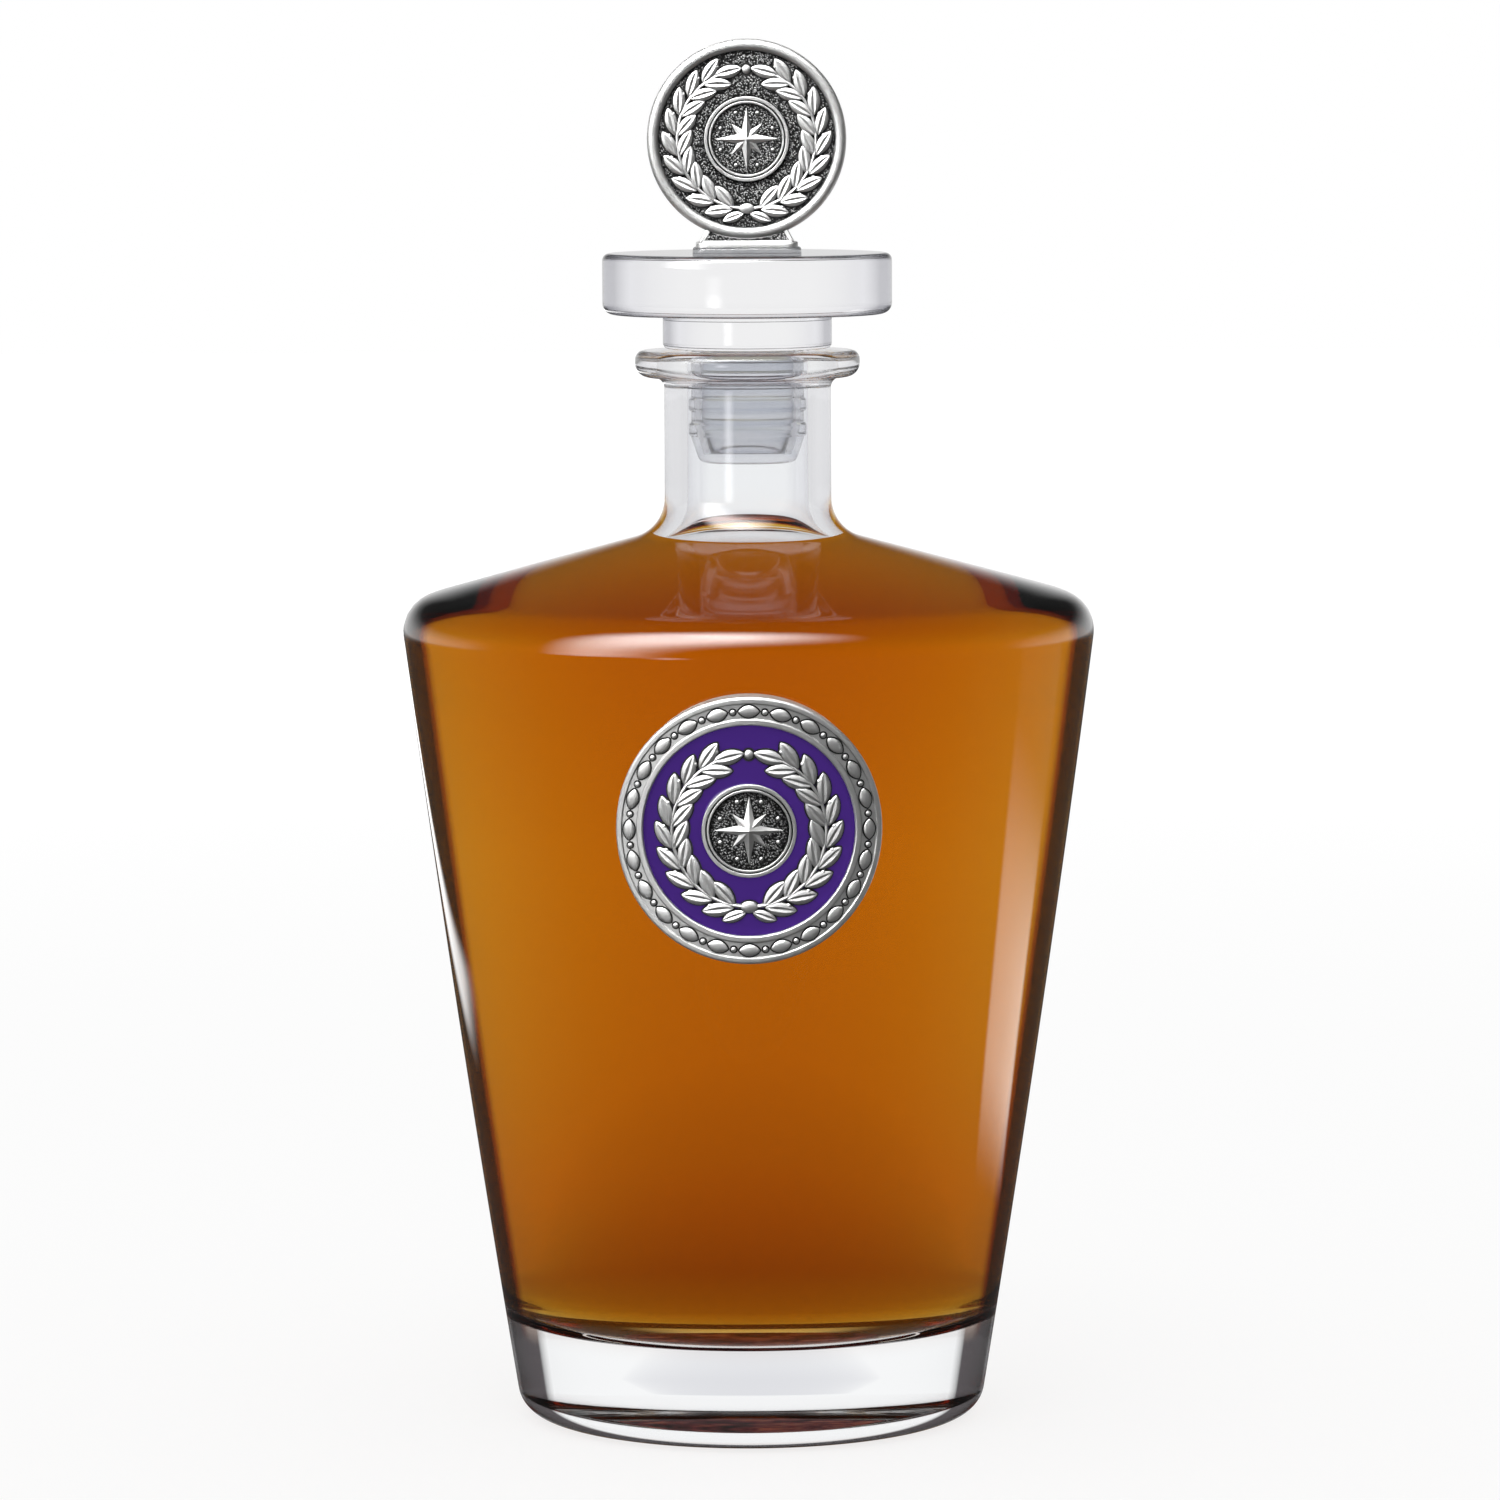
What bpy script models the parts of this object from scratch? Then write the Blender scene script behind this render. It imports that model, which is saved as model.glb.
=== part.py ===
"""Glass liquor decanter with a glass stopper, a polymer stopper seal and two cast pewter medallions.

Everything is in metres with +Z up. The origin is on the decanter's axis, on the surface it stands on,
and -Y is the front, where the emblem is.
"""

import math

import bmesh
import bpy
from mathutils import Matrix, Vector

MM = 0.001

# Smoothness of the turned pieces
SEGMENTS = 40
ARC_STEP = math.radians(26)
SMOOTH_ANGLE = math.radians(35)

# Gap between pieces that bear on each other, and between the seal's ribs and the bore
SEAT_GAP = 0.3 * MM
RIB_CLEARANCE = 0.28 * MM

# Decanter body, outside: sharp corners of the outline, which the fillets then round
BASE_RADIUS = 38.3 * MM
BODY_HEIGHT = 135.4 * MM
BODY_TOP_RADIUS = 57.95 * MM
WALL_BULGE = 0.6 * MM
SHOULDER_RISE = 12.1 * MM
NECK_RADIUS = 13.8 * MM
NECK_LENGTH = 29.5 * MM
BASE_FILLET = 4.8 * MM
SHOULDER_FILLET = 6.2 * MM
NECK_FILLET = 6.8 * MM
WALL_STATIONS = 7

# Ring round the mouth
LIP_RADIUS = 18.57 * MM
LIP_THICKNESS = 4.1 * MM
LIP_UNDERCUT = 0.6 * MM
LIP_TOP_FILLET = 1.5 * MM
LIP_BOTTOM_FILLET = 2.3 * MM
LIP_ROOT_FILLET = 1.6 * MM

# Foot ring and the shallow push-up inside it
FOOT_WIDTH = 3.6 * MM
PUSH_UP_DEPTH = 2.4 * MM
PUSH_UP_SLOPE_WIDTH = 20.0 * MM

# Decanter body, inside
BORE_RADIUS = 10.0 * MM
SIDE_WALL = 5.0 * MM
SHOULDER_WALL = 4.1 * MM
FLOOR_THICKNESS = 16.3 * MM
FLOOR_FILLET = 9.0 * MM
INNER_SHOULDER_FILLET = 4.0 * MM
MOUTH_EDGE = 0.7 * MM

# Liquor, filled to this far below the foot of the neck
LIQUOR_DROP = 4.0 * MM

# Glass stopper: disc, collar and peg
DISC_RADIUS = 23.9 * MM
DISC_HEIGHT = 10.0 * MM
DISC_TOP_FILLET = 1.2 * MM
DISC_BOTTOM_FILLET = 1.8 * MM
COLLAR_RADIUS = 13.95 * MM
COLLAR_HEIGHT = 5.7 * MM
COLLAR_FILLET = 0.9 * MM
COLLAR_ROOT_FILLET = 1.0 * MM
PEG_RADIUS = 7.6 * MM
PEG_STRAIGHT = 12.6 * MM
PEG_TAPER_LENGTH = 4.3 * MM
PEG_END_RADIUS = 6.2 * MM

# Seal sleeve on the peg
SLEEVE_WALL = 1.4 * MM
SEAL_FLOOR = 1.5 * MM
SEAL_BOTTOM_FILLET = 1.4 * MM
RIB_COUNT = 2
RIB_HEIGHT = 2.3 * MM
RIB_PITCH = 4.1 * MM
RIB_DROP = 7.6 * MM
RIB_EDGE = 0.45 * MM

# Finial medallion, its bead, its sunk fields and its foot
MEDALLION_RADIUS = 16.4 * MM
BEAD_WIDTH = 1.9 * MM
BEAD_THICKNESS = 3.4 * MM
FIELD_THICKNESS = 1.8 * MM
FOOT_LENGTH = 16.8 * MM
FOOT_DEPTH = 8.0 * MM
FOOT_HEIGHT = 0.8 * MM
FOOT_CORNER = 1.8 * MM
TAB_BOTTOM_WIDTH = 16.0 * MM
TAB_TOP_WIDTH = 12.6 * MM
TAB_BOTTOM_DEPTH = 3.2 * MM
TAB_TOP_DEPTH = 2.4 * MM
TAB_CORNER = 0.5 * MM
MEDALLION_LIFT = 1.3 * MM
TAB_OVERLAP = 3.2 * MM
FINIAL_CEMENT = 0.4 * MM
CEMENT_BEAD = 0.6 * MM

# Emblem on the front of the body, measured over the curve of the wall
EMBLEM_DROP = 31.6 * MM
EMBLEM_RADIUS = 21.8 * MM
EMBLEM_RIM_WIDTH = 4.6 * MM
EMBLEM_RIM_RISE = 1.3 * MM
EMBLEM_PLATE = 0.6 * MM
EMBLEM_EDGE = 0.3 * MM
PAD_RADIUS = 17.5 * MM
PAD_THICKNESS = 0.4 * MM
BOSS_RADIUS = 7.6 * MM
BOSS_RISE = 1.1 * MM
ENAMEL_THICKNESS = 0.4 * MM
EMBLEM_RING_STEP = 4.4 * MM

# Shortest edge that counts, for merging the ends of a spin
MERGE = 0.001 * MM

# Heights that follow from these
NECK_BASE_HEIGHT = BODY_HEIGHT + SHOULDER_RISE
MOUTH_HEIGHT = NECK_BASE_HEIGHT + NECK_LENGTH
LIQUOR_LEVEL = NECK_BASE_HEIGHT - LIQUOR_DROP
EMBLEM_HEIGHT = BODY_HEIGHT - EMBLEM_DROP


def clear_scene():
    for obj in list(bpy.data.objects):
        bpy.data.objects.remove(obj, do_unlink=True)


def make_material(name, colour, roughness, metallic=0.0, transmission=0.0, ior=1.45):
    material = bpy.data.materials.new(name)
    material.use_nodes = True
    shader = material.node_tree.nodes["Principled BSDF"]
    shader.inputs["Base Color"].default_value = (*colour, 1.0)
    shader.inputs["Roughness"].default_value = roughness
    shader.inputs["Metallic"].default_value = metallic
    shader.inputs["Transmission Weight"].default_value = transmission
    shader.inputs["IOR"].default_value = ior
    material.diffuse_color = (*colour, 1.0)
    return material


def rounded(corners):
    """Outline points from corners (radius, height, fillet), each corner rounded to its fillet."""
    points = []
    for index, (radius, height, fillet) in enumerate(corners):
        here = Vector((radius, height))
        if not fillet:
            points.append(here)
            continue
        before = (Vector(corners[index - 1][:2]) - here).normalized()
        after = (Vector(corners[index + 1][:2]) - here).normalized()
        half = before.angle(after) / 2
        centre = here + (before + after).normalized() * (fillet / math.sin(half))
        spoke = here + before * (fillet / math.tan(half)) - centre
        turn = math.pi - 2 * half
        steps = max(2, math.ceil(turn / ARC_STEP))
        way = math.copysign(1, after.cross(before))
        for step in range(steps + 1):
            angle = way * turn * step / steps
            points.append(centre + Matrix.Rotation(angle, 2) @ spoke)
    return points


def inset(points, distance):
    """Move an outline that runs up the outside of a solid towards its axis side by a distance."""
    moved = []
    for index, point in enumerate(points):
        ahead = points[min(index + 1, len(points) - 1)] - point
        behind = point - points[max(index - 1, 0)]
        along = (ahead.normalized() + behind.normalized()).normalized()
        moved.append(point + Vector((-along.y, along.x)) * distance)
    return moved


def cut_at(points, height):
    """Keep the start of an outline that rises, up to a height."""
    kept = [points[0]]
    for before, after in zip(points, points[1:]):
        if after.y > height:
            share = (height - before.y) / (after.y - before.y)
            kept.append(before.lerp(after, share))
            break
        kept.append(after)
    return kept


def finish(name, mesh_data, material, smooth_angle=SMOOTH_ANGLE):
    """Turn a bmesh into a named object with its material, shaded smooth but for its sharp edges."""
    mesh = bpy.data.meshes.new(name)
    mesh_data.to_mesh(mesh)
    mesh_data.free()
    mesh.shade_smooth()
    mesh.set_sharp_from_angle(angle=smooth_angle)
    mesh.materials.append(material)
    obj = bpy.data.objects.new(name, mesh)
    bpy.context.scene.collection.objects.link(obj)
    return obj


def spun(outline, closed=False):
    """A bmesh turned about Z from outline points; its ends lie on the axis unless it is closed."""
    turned_mesh = bmesh.new()
    verts = [turned_mesh.verts.new((point.x, 0, point.y)) for point in outline]
    edges = [turned_mesh.edges.new(pair) for pair in zip(verts, verts[1:])]
    if closed:
        edges.append(turned_mesh.edges.new((verts[-1], verts[0])))
    bmesh.ops.spin(
        turned_mesh,
        geom=verts + edges,
        cent=(0, 0, 0),
        axis=(0, 0, 1),
        angle=2 * math.pi,
        steps=SEGMENTS,
        use_merge=True,
    )
    bmesh.ops.remove_doubles(turned_mesh, verts=turned_mesh.verts, dist=MERGE)
    bmesh.ops.recalc_face_normals(turned_mesh, faces=turned_mesh.faces)
    return turned_mesh


# Outline of the body. The wall is a cone with a slight bulge, the shoulder a straight cone.


def wall_radius(height):
    """Outside radius of the body's wall at a height."""
    share = height / BODY_HEIGHT
    bulge = 4 * WALL_BULGE * share * (1 - share)
    return BASE_RADIUS + (BODY_TOP_RADIUS - BASE_RADIUS) * share + bulge


def shoulder_height(radius):
    """Height of the shoulder's outer face at a radius."""
    share = (BODY_TOP_RADIUS - radius) / (BODY_TOP_RADIUS - NECK_RADIUS)
    return BODY_HEIGHT + (NECK_BASE_HEIGHT - BODY_HEIGHT) * share


def outer_corners():
    foot_outer = BASE_RADIUS - BASE_FILLET
    foot_inner = foot_outer - FOOT_WIDTH
    lip_bottom = MOUTH_HEIGHT - LIP_THICKNESS
    corners = [
        (0, PUSH_UP_DEPTH, 0),
        (foot_inner - PUSH_UP_SLOPE_WIDTH, PUSH_UP_DEPTH, 0),
        (foot_inner, 0, 0),
        (BASE_RADIUS, 0, BASE_FILLET),
    ]
    for station in range(1, WALL_STATIONS):
        height = BODY_HEIGHT * station / WALL_STATIONS
        corners.append((wall_radius(height), height, 0))
    corners += [
        (BODY_TOP_RADIUS, BODY_HEIGHT, SHOULDER_FILLET),
        (NECK_RADIUS, NECK_BASE_HEIGHT, NECK_FILLET),
        (NECK_RADIUS, lip_bottom - LIP_UNDERCUT, LIP_ROOT_FILLET),
        (LIP_RADIUS, lip_bottom, LIP_BOTTOM_FILLET),
        (LIP_RADIUS, MOUTH_HEIGHT, LIP_TOP_FILLET),
        (BORE_RADIUS + MOUTH_EDGE, MOUTH_HEIGHT, 0),
    ]
    return corners


def inner_corners():
    """The cavity, from the middle of its floor up to the mouth."""
    corner_radius = BODY_TOP_RADIUS - SIDE_WALL
    corner_height = shoulder_height(corner_radius) - SHOULDER_WALL
    corners = [
        (0, FLOOR_THICKNESS, 0),
        (wall_radius(FLOOR_THICKNESS) - SIDE_WALL, FLOOR_THICKNESS, FLOOR_FILLET),
    ]
    for station in range(2, WALL_STATIONS):
        height = BODY_HEIGHT * station / WALL_STATIONS
        corners.append((wall_radius(height) - SIDE_WALL, height, 0))
    corners += [
        (wall_radius(corner_height) - SIDE_WALL, corner_height, INNER_SHOULDER_FILLET),
        (
            BORE_RADIUS,
            shoulder_height(BORE_RADIUS) - SHOULDER_WALL,
            NECK_FILLET + NECK_RADIUS - BORE_RADIUS,
        ),
        (BORE_RADIUS, MOUTH_HEIGHT - MOUTH_EDGE, 0),
    ]
    return corners


def make_decanter_glass(glass):
    """The bottle itself: one blown and pressed glass piece, open at the mouth."""
    outline = rounded(outer_corners()) + rounded(inner_corners())[::-1]
    return finish("decanter_glass", spun(outline), glass)


def make_liquor(spirit):
    """What the decanter holds, filled to the foot of the neck."""
    cavity = inset(rounded(inner_corners()), SEAT_GAP)
    cavity[0].x = 0
    outline = cut_at(cavity, LIQUOR_LEVEL)
    outline.append(Vector((0, LIQUOR_LEVEL)))
    return finish("liquor", spun(outline), spirit)


# Stopper


def stopper_levels():
    """Heights of the stopper's collar, disc and peg, from the mouth that it rests on."""
    collar_bottom = MOUTH_HEIGHT + SEAT_GAP
    disc_bottom = collar_bottom + COLLAR_HEIGHT
    disc_top = disc_bottom + DISC_HEIGHT
    taper_top = collar_bottom - PEG_STRAIGHT
    peg_end = taper_top - PEG_TAPER_LENGTH
    return collar_bottom, disc_bottom, disc_top, taper_top, peg_end


def make_stopper_glass(glass):
    """Solid glass stopper: a peg, a collar that rests on the mouth, and a flat disc to hold it by."""
    collar_bottom, disc_bottom, disc_top, taper_top, peg_end = stopper_levels()
    outline = rounded(
        [
            (0, peg_end, 0),
            (PEG_END_RADIUS, peg_end, 0),
            (PEG_RADIUS, taper_top, 0),
            (PEG_RADIUS, collar_bottom, 0),
            (COLLAR_RADIUS, collar_bottom, COLLAR_FILLET),
            (COLLAR_RADIUS, disc_bottom, COLLAR_ROOT_FILLET),
            (DISC_RADIUS, disc_bottom, DISC_BOTTOM_FILLET),
            (DISC_RADIUS, disc_top, DISC_TOP_FILLET),
            (0, disc_top, 0),
        ]
    )
    return finish("stopper_glass", spun(outline), glass)


def make_stopper_seal(polymer):
    """Moulded cup pushed on the peg. Its ribs grip the bore, and its end tapers to lead it in."""
    collar_bottom, _, _, taper_top, peg_end = stopper_levels()
    inner = PEG_RADIUS + SEAT_GAP
    inner_end = PEG_END_RADIUS + SEAT_GAP
    sleeve = inner + SLEEVE_WALL
    rib = BORE_RADIUS - RIB_CLEARANCE
    cup_floor = peg_end - SEAT_GAP
    bottom = cup_floor - SEAL_FLOOR
    end_radius = inner_end + SLEEVE_WALL
    top = collar_bottom - SEAT_GAP
    lowest_rib = MOUTH_HEIGHT - RIB_DROP - RIB_PITCH * (RIB_COUNT - 1) - RIB_HEIGHT
    corners = [
        (0, bottom, 0),
        (end_radius, bottom, SEAL_BOTTOM_FILLET),
        (sleeve, lowest_rib - RIB_EDGE, 0),
    ]
    for number in range(RIB_COUNT):
        rib_bottom = lowest_rib + RIB_PITCH * number
        rib_top = rib_bottom + RIB_HEIGHT
        corners += [
            (sleeve, rib_bottom, 0),
            (rib, rib_bottom + RIB_EDGE, 0),
            (rib, rib_top - RIB_EDGE, 0),
            (sleeve, rib_top, 0),
        ]
    corners += [
        (sleeve, top, 0),
        (inner, top, 0),
        (inner, taper_top, 0),
        (inner_end, cup_floor, 0),
        (0, cup_floor, 0),
    ]
    return finish("stopper_seal", spun(rounded(corners)), polymer)


# Finial


def block(low_size, high_size, low, high, corner):
    """A bmesh block about the axis, its plan going from one size to another, with rounded corners."""
    shape = bmesh.new()
    bmesh.ops.create_cube(shape, size=1)
    for vert in shape.verts:
        (width, depth), height = (low_size, low) if vert.co.z < 0 else (high_size, high)
        vert.co = Vector((vert.co.x * width, vert.co.y * depth, height))
    upright = [edge for edge in shape.edges if edge.verts[0].co.z != edge.verts[1].co.z]
    bmesh.ops.bevel(
        shape,
        geom=upright,
        offset=corner,
        segments=3,
        profile=0.5,
        affect="EDGES",
        material=-1,
    )
    return shape


def join(whole, piece):
    """Unite a hidden piece with another object."""
    piece.hide_render = True
    piece.display_type = "WIRE"
    union = whole.modifiers.new("join_" + piece.name, "BOOLEAN")
    union.operation = "UNION"
    union.solver = "EXACT"
    union.object = piece


def finial_levels():
    """Heights of the finial's cement, foot, tab and medallion, from the top of the stopper's disc."""
    disc_top = stopper_levels()[2]
    cement_bottom = disc_top + SEAT_GAP
    foot_bottom = cement_bottom + FINIAL_CEMENT + SEAT_GAP
    tab_bottom = foot_bottom + FOOT_HEIGHT
    medallion_bottom = foot_bottom + MEDALLION_LIFT
    return cement_bottom, foot_bottom, tab_bottom, medallion_bottom


def make_finial_casting(pewter):
    """Cast medallion with a bead round a sunk field on both faces, standing on its own foot."""
    _, foot_bottom, tab_bottom, medallion_bottom = finial_levels()
    half_bead = BEAD_THICKNESS / 2
    half_field = FIELD_THICKNESS / 2
    field_radius = MEDALLION_RADIUS - BEAD_WIDTH
    crown = BEAD_WIDTH / 2
    outline = rounded(
        [
            (0, -half_field, 0),
            (field_radius, -half_field, 0),
            (field_radius + crown / 3, -half_bead, 0),
            (MEDALLION_RADIUS, -half_bead, crown),
            (MEDALLION_RADIUS, half_bead, crown),
            (field_radius + crown / 3, half_bead, 0),
            (field_radius, half_field, 0),
            (0, half_field, 0),
        ]
    )
    disc = spun(outline)
    upright = Matrix.Rotation(math.radians(90), 4, "X")
    place = Matrix.Translation((0, 0, medallion_bottom + MEDALLION_RADIUS))
    bmesh.ops.transform(disc, matrix=place @ upright, verts=disc.verts)
    medallion = finish("finial_casting", disc, pewter)
    foot_size = (FOOT_LENGTH, FOOT_DEPTH)
    foot = finish(
        "foot_guide",
        block(foot_size, foot_size, foot_bottom, tab_bottom, FOOT_CORNER),
        pewter,
    )
    tab = finish(
        "tab_guide",
        block(
            (TAB_BOTTOM_WIDTH, TAB_BOTTOM_DEPTH),
            (TAB_TOP_WIDTH, TAB_TOP_DEPTH),
            foot_bottom + FOOT_HEIGHT / 2,
            medallion_bottom + TAB_OVERLAP,
            TAB_CORNER,
        ),
        pewter,
    )
    join(medallion, tab)
    join(medallion, foot)
    return medallion, foot, tab


def make_finial_cement(cement):
    """Bead of clear cement that fixes the finial's foot to the stopper, spread a little past it."""
    cement_bottom = finial_levels()[0]
    size = (FOOT_LENGTH + 2 * CEMENT_BEAD, FOOT_DEPTH + 2 * CEMENT_BEAD)
    top = cement_bottom + FINIAL_CEMENT
    pad = block(size, size, cement_bottom, top, FOOT_CORNER + CEMENT_BEAD)
    return finish("finial_cement", pad, cement)


# Emblem: flat rings laid over the curve of the body's wall


def emblem_layers():
    """Distances from the wall to the emblem's pad, plate, field and enamel."""
    pad_back = SEAT_GAP
    plate_back = pad_back + PAD_THICKNESS + SEAT_GAP
    field = plate_back + EMBLEM_PLATE
    enamel_back = field + SEAT_GAP
    return pad_back, plate_back, field, enamel_back


def lay_on_wall(flat):
    """Bend a disc, flat in X and Y with its face towards +Z, over the wall: its rim keeps its width."""
    rise = wall_radius(EMBLEM_HEIGHT + EMBLEM_RADIUS) - wall_radius(EMBLEM_HEIGHT - EMBLEM_RADIUS)
    lean = math.atan2(rise, 2 * EMBLEM_RADIUS)
    rim_top = emblem_layers()[2] + EMBLEM_RIM_RISE
    for vert in flat.verts:
        across, up, off = vert.co
        height = EMBLEM_HEIGHT + up * math.cos(lean)
        radius = wall_radius(height)
        reach = radius + off * math.cos(lean)
        angle = across / (radius + rim_top)
        vert.co = Vector(
            (
                reach * math.sin(angle),
                -reach * math.cos(angle),
                height - off * math.sin(lean),
            )
        )


def with_rings(outline):
    """Add points along an outline's long runs, so that its faces follow the wall's curve."""
    points = [outline[0]]
    for before, after in zip(outline, outline[1:]):
        pieces = max(1, math.ceil((after - before).length / EMBLEM_RING_STEP))
        points += [before.lerp(after, step / pieces) for step in range(1, pieces + 1)]
    return points


def make_emblem_casting(pewter):
    """Cast medallion bent to the bottle: a broad rim, a thin plate and a boss in the middle."""
    _, plate_back, field, _ = emblem_layers()
    pocket = PAD_RADIUS + SEAT_GAP
    inner = EMBLEM_RADIUS - EMBLEM_RIM_WIDTH
    rim_top = field + EMBLEM_RIM_RISE
    corners = [
        (0, plate_back),
        (pocket, plate_back),
        (pocket, SEAT_GAP),
        (EMBLEM_RADIUS, SEAT_GAP),
        (EMBLEM_RADIUS, rim_top - EMBLEM_EDGE),
        (EMBLEM_RADIUS - EMBLEM_EDGE, rim_top),
        (inner + EMBLEM_EDGE, rim_top),
        (inner, rim_top - EMBLEM_EDGE),
        (inner, field),
        (BOSS_RADIUS, field),
        (BOSS_RADIUS, field + BOSS_RISE - EMBLEM_EDGE),
        (BOSS_RADIUS - EMBLEM_EDGE, field + BOSS_RISE),
        (0, field + BOSS_RISE),
    ]
    disc = spun(with_rings([Vector(corner) for corner in corners]))
    lay_on_wall(disc)
    return finish("emblem_casting", disc, pewter)


def make_emblem_enamel(enamel):
    """Ring of violet enamel that fills the field between the emblem's rim and its boss."""
    _, _, _, enamel_back = emblem_layers()
    inner = BOSS_RADIUS + SEAT_GAP
    outer = EMBLEM_RADIUS - EMBLEM_RIM_WIDTH - SEAT_GAP
    enamel_face = enamel_back + ENAMEL_THICKNESS
    corners = [
        (inner, enamel_back),
        (outer, enamel_back),
        (outer, enamel_face),
        (inner, enamel_face),
        (inner, enamel_back),
    ]
    outline = with_rings([Vector(corner) for corner in corners])[:-1]
    ring = spun(outline, closed=True)
    lay_on_wall(ring)
    return finish("emblem_enamel", ring, enamel)


def make_emblem_pad(cement):
    """Thin adhesive pad between the emblem and the glass."""
    pad_back = emblem_layers()[0]
    corners = [
        (0, pad_back),
        (PAD_RADIUS, pad_back),
        (PAD_RADIUS, pad_back + PAD_THICKNESS),
        (0, pad_back + PAD_THICKNESS),
    ]
    pad = spun(with_rings([Vector(corner) for corner in corners]))
    lay_on_wall(pad)
    return finish("emblem_pad", pad, cement)


# Where the moving pieces turn and slide: an empty in the mouth carries the seal and the stopper


def put_on_axis(pieces):
    mouth = bpy.data.objects.new("stopper_axis", None)
    mouth.location = (0, 0, MOUTH_HEIGHT)
    bpy.context.scene.collection.objects.link(mouth)
    for piece in pieces:
        piece.parent = mouth
        piece.matrix_parent_inverse = Matrix.Translation((0, 0, -MOUTH_HEIGHT))


clear_scene()

clear_glass = make_material("clear_flint_glass", (0.93, 0.95, 0.97), 0.02, transmission=1.0, ior=1.5)
amber_spirit = make_material("amber_spirit", (0.55, 0.22, 0.03), 0.02, transmission=1.0, ior=1.36)
cast_pewter = make_material("cast_pewter", (0.62, 0.61, 0.59), 0.35, metallic=1.0)
violet_enamel = make_material("violet_enamel", (0.055, 0.015, 0.21), 0.2)
clear_cement = make_material("clear_cement", (0.85, 0.86, 0.88), 0.3, transmission=0.6)
soft_polymer = make_material("soft_polymer", (0.8, 0.82, 0.85), 0.4, transmission=0.5)

make_decanter_glass(clear_glass)
make_liquor(amber_spirit)
stopper_glass = make_stopper_glass(clear_glass)
stopper_seal = make_stopper_seal(soft_polymer)
finial_pieces = make_finial_casting(cast_pewter)
finial_cement = make_finial_cement(clear_cement)
make_emblem_casting(cast_pewter)
make_emblem_enamel(violet_enamel)
make_emblem_pad(clear_cement)
put_on_axis([stopper_glass, stopper_seal, finial_cement, *finial_pieces])
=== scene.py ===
"""Looks of a glass liquor decanter with a glass stopper and two cast pewter medallions.

Metres, +Z up. The origin is on the decanter's axis, where it stands, and -Y is the front.
"""

import math

import bmesh
import bpy
from mathutils import Matrix, Vector


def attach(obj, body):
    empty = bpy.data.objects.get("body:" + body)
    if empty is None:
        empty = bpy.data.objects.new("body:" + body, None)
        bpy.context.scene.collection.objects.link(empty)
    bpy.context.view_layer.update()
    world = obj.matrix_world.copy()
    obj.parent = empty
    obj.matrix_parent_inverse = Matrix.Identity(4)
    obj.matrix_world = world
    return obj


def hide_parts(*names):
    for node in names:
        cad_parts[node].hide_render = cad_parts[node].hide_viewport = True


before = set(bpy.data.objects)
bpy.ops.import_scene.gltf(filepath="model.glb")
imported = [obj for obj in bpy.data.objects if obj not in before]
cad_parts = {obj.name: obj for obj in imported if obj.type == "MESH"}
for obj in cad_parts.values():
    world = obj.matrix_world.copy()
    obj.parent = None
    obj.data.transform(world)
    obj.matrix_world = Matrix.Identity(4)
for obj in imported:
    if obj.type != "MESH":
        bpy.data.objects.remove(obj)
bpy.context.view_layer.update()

# Studio
# Clear glass is photographed on a white sweep that lights it from behind, in a room that is dim above and in
# front, so that its faces stay clean. A softbox overhead and a strip light in front give the highlights.

MM = 0.001
PHOTO_SIDE_PX = 1500
FOCAL_LENGTH_PX = 6983
SENSOR_SIDE_MM = 36
CAMERA_PLACE = (0.18 * MM, -1153 * MM, 227.67 * MM)
CAMERA_PITCH = math.radians(5.795)
CAMERA_ROLL = math.radians(-0.22)


def add_object(name, data):
    """An object in the scene."""
    thing = bpy.data.objects.new(name, data)
    bpy.context.scene.collection.objects.link(thing)
    return thing


camera_data = bpy.data.cameras.new("studio_camera")
camera_data.sensor_width = SENSOR_SIDE_MM
camera_data.lens = FOCAL_LENGTH_PX / PHOTO_SIDE_PX * SENSOR_SIDE_MM
camera = add_object("studio_camera", camera_data)
camera.location = CAMERA_PLACE
pitched = Matrix.Rotation(math.radians(90) - CAMERA_PITCH, 3, "X")
camera.rotation_euler = (pitched @ Matrix.Rotation(CAMERA_ROLL, 3, "Z")).to_euler()
bpy.context.scene.camera = camera


def linear(hex_colour):
    """Linear RGBA of an sRGB colour written as six hex digits."""
    channels = [int(hex_colour[place : place + 2], 16) / 255 for place in (0, 2, 4)]
    return [c / 12.92 if c <= 0.04045 else ((c + 0.055) / 1.055) ** 2.4 for c in channels] + [1.0]


def add_node(tree, kind, inputs=None, **settings):
    """Add a shader node with its settings. Each input gets a value, or the socket that feeds it."""
    node = tree.nodes.new("ShaderNode" + kind)
    for name, value in settings.items():
        setattr(node, name, value)
    for name, value in (inputs or {}).items():
        if isinstance(value, bpy.types.NodeSocket):
            tree.links.new(value, node.inputs[name])
        else:
            node.inputs[name].default_value = value
    return node


def new_material(name):
    """An empty node material and its tree."""
    material = bpy.data.materials.new(name)
    material.use_nodes = True
    material.node_tree.nodes.clear()
    return material, material.node_tree


def ramp_between(tree, value, low, high, at_low=0.0, at_high=1.0):
    """Go smoothly from one level to another while a value goes from low to high."""
    inputs = {"Value": value, "From Min": low, "From Max": high, "To Min": at_low, "To Max": at_high}
    return add_node(tree, "MapRange", inputs, interpolation_type="SMOOTHSTEP").outputs[0]


def calculate(tree, operation, first, second):
    """A Math node on two values or sockets."""
    return add_node(tree, "Math", {0: first, 1: second}, operation=operation).outputs[0]


def multiply(tree, first, *others):
    """The product of several levels."""
    for other in others:
        first = calculate(tree, "MULTIPLY", first, other)
    return first


def choose(tree, share, when_zero, when_one):
    """Mix two levels by a share from 0 to 1."""
    return add_node(tree, "Mix", {0: share, 2: when_zero, 3: when_one}).outputs[0]


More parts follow.
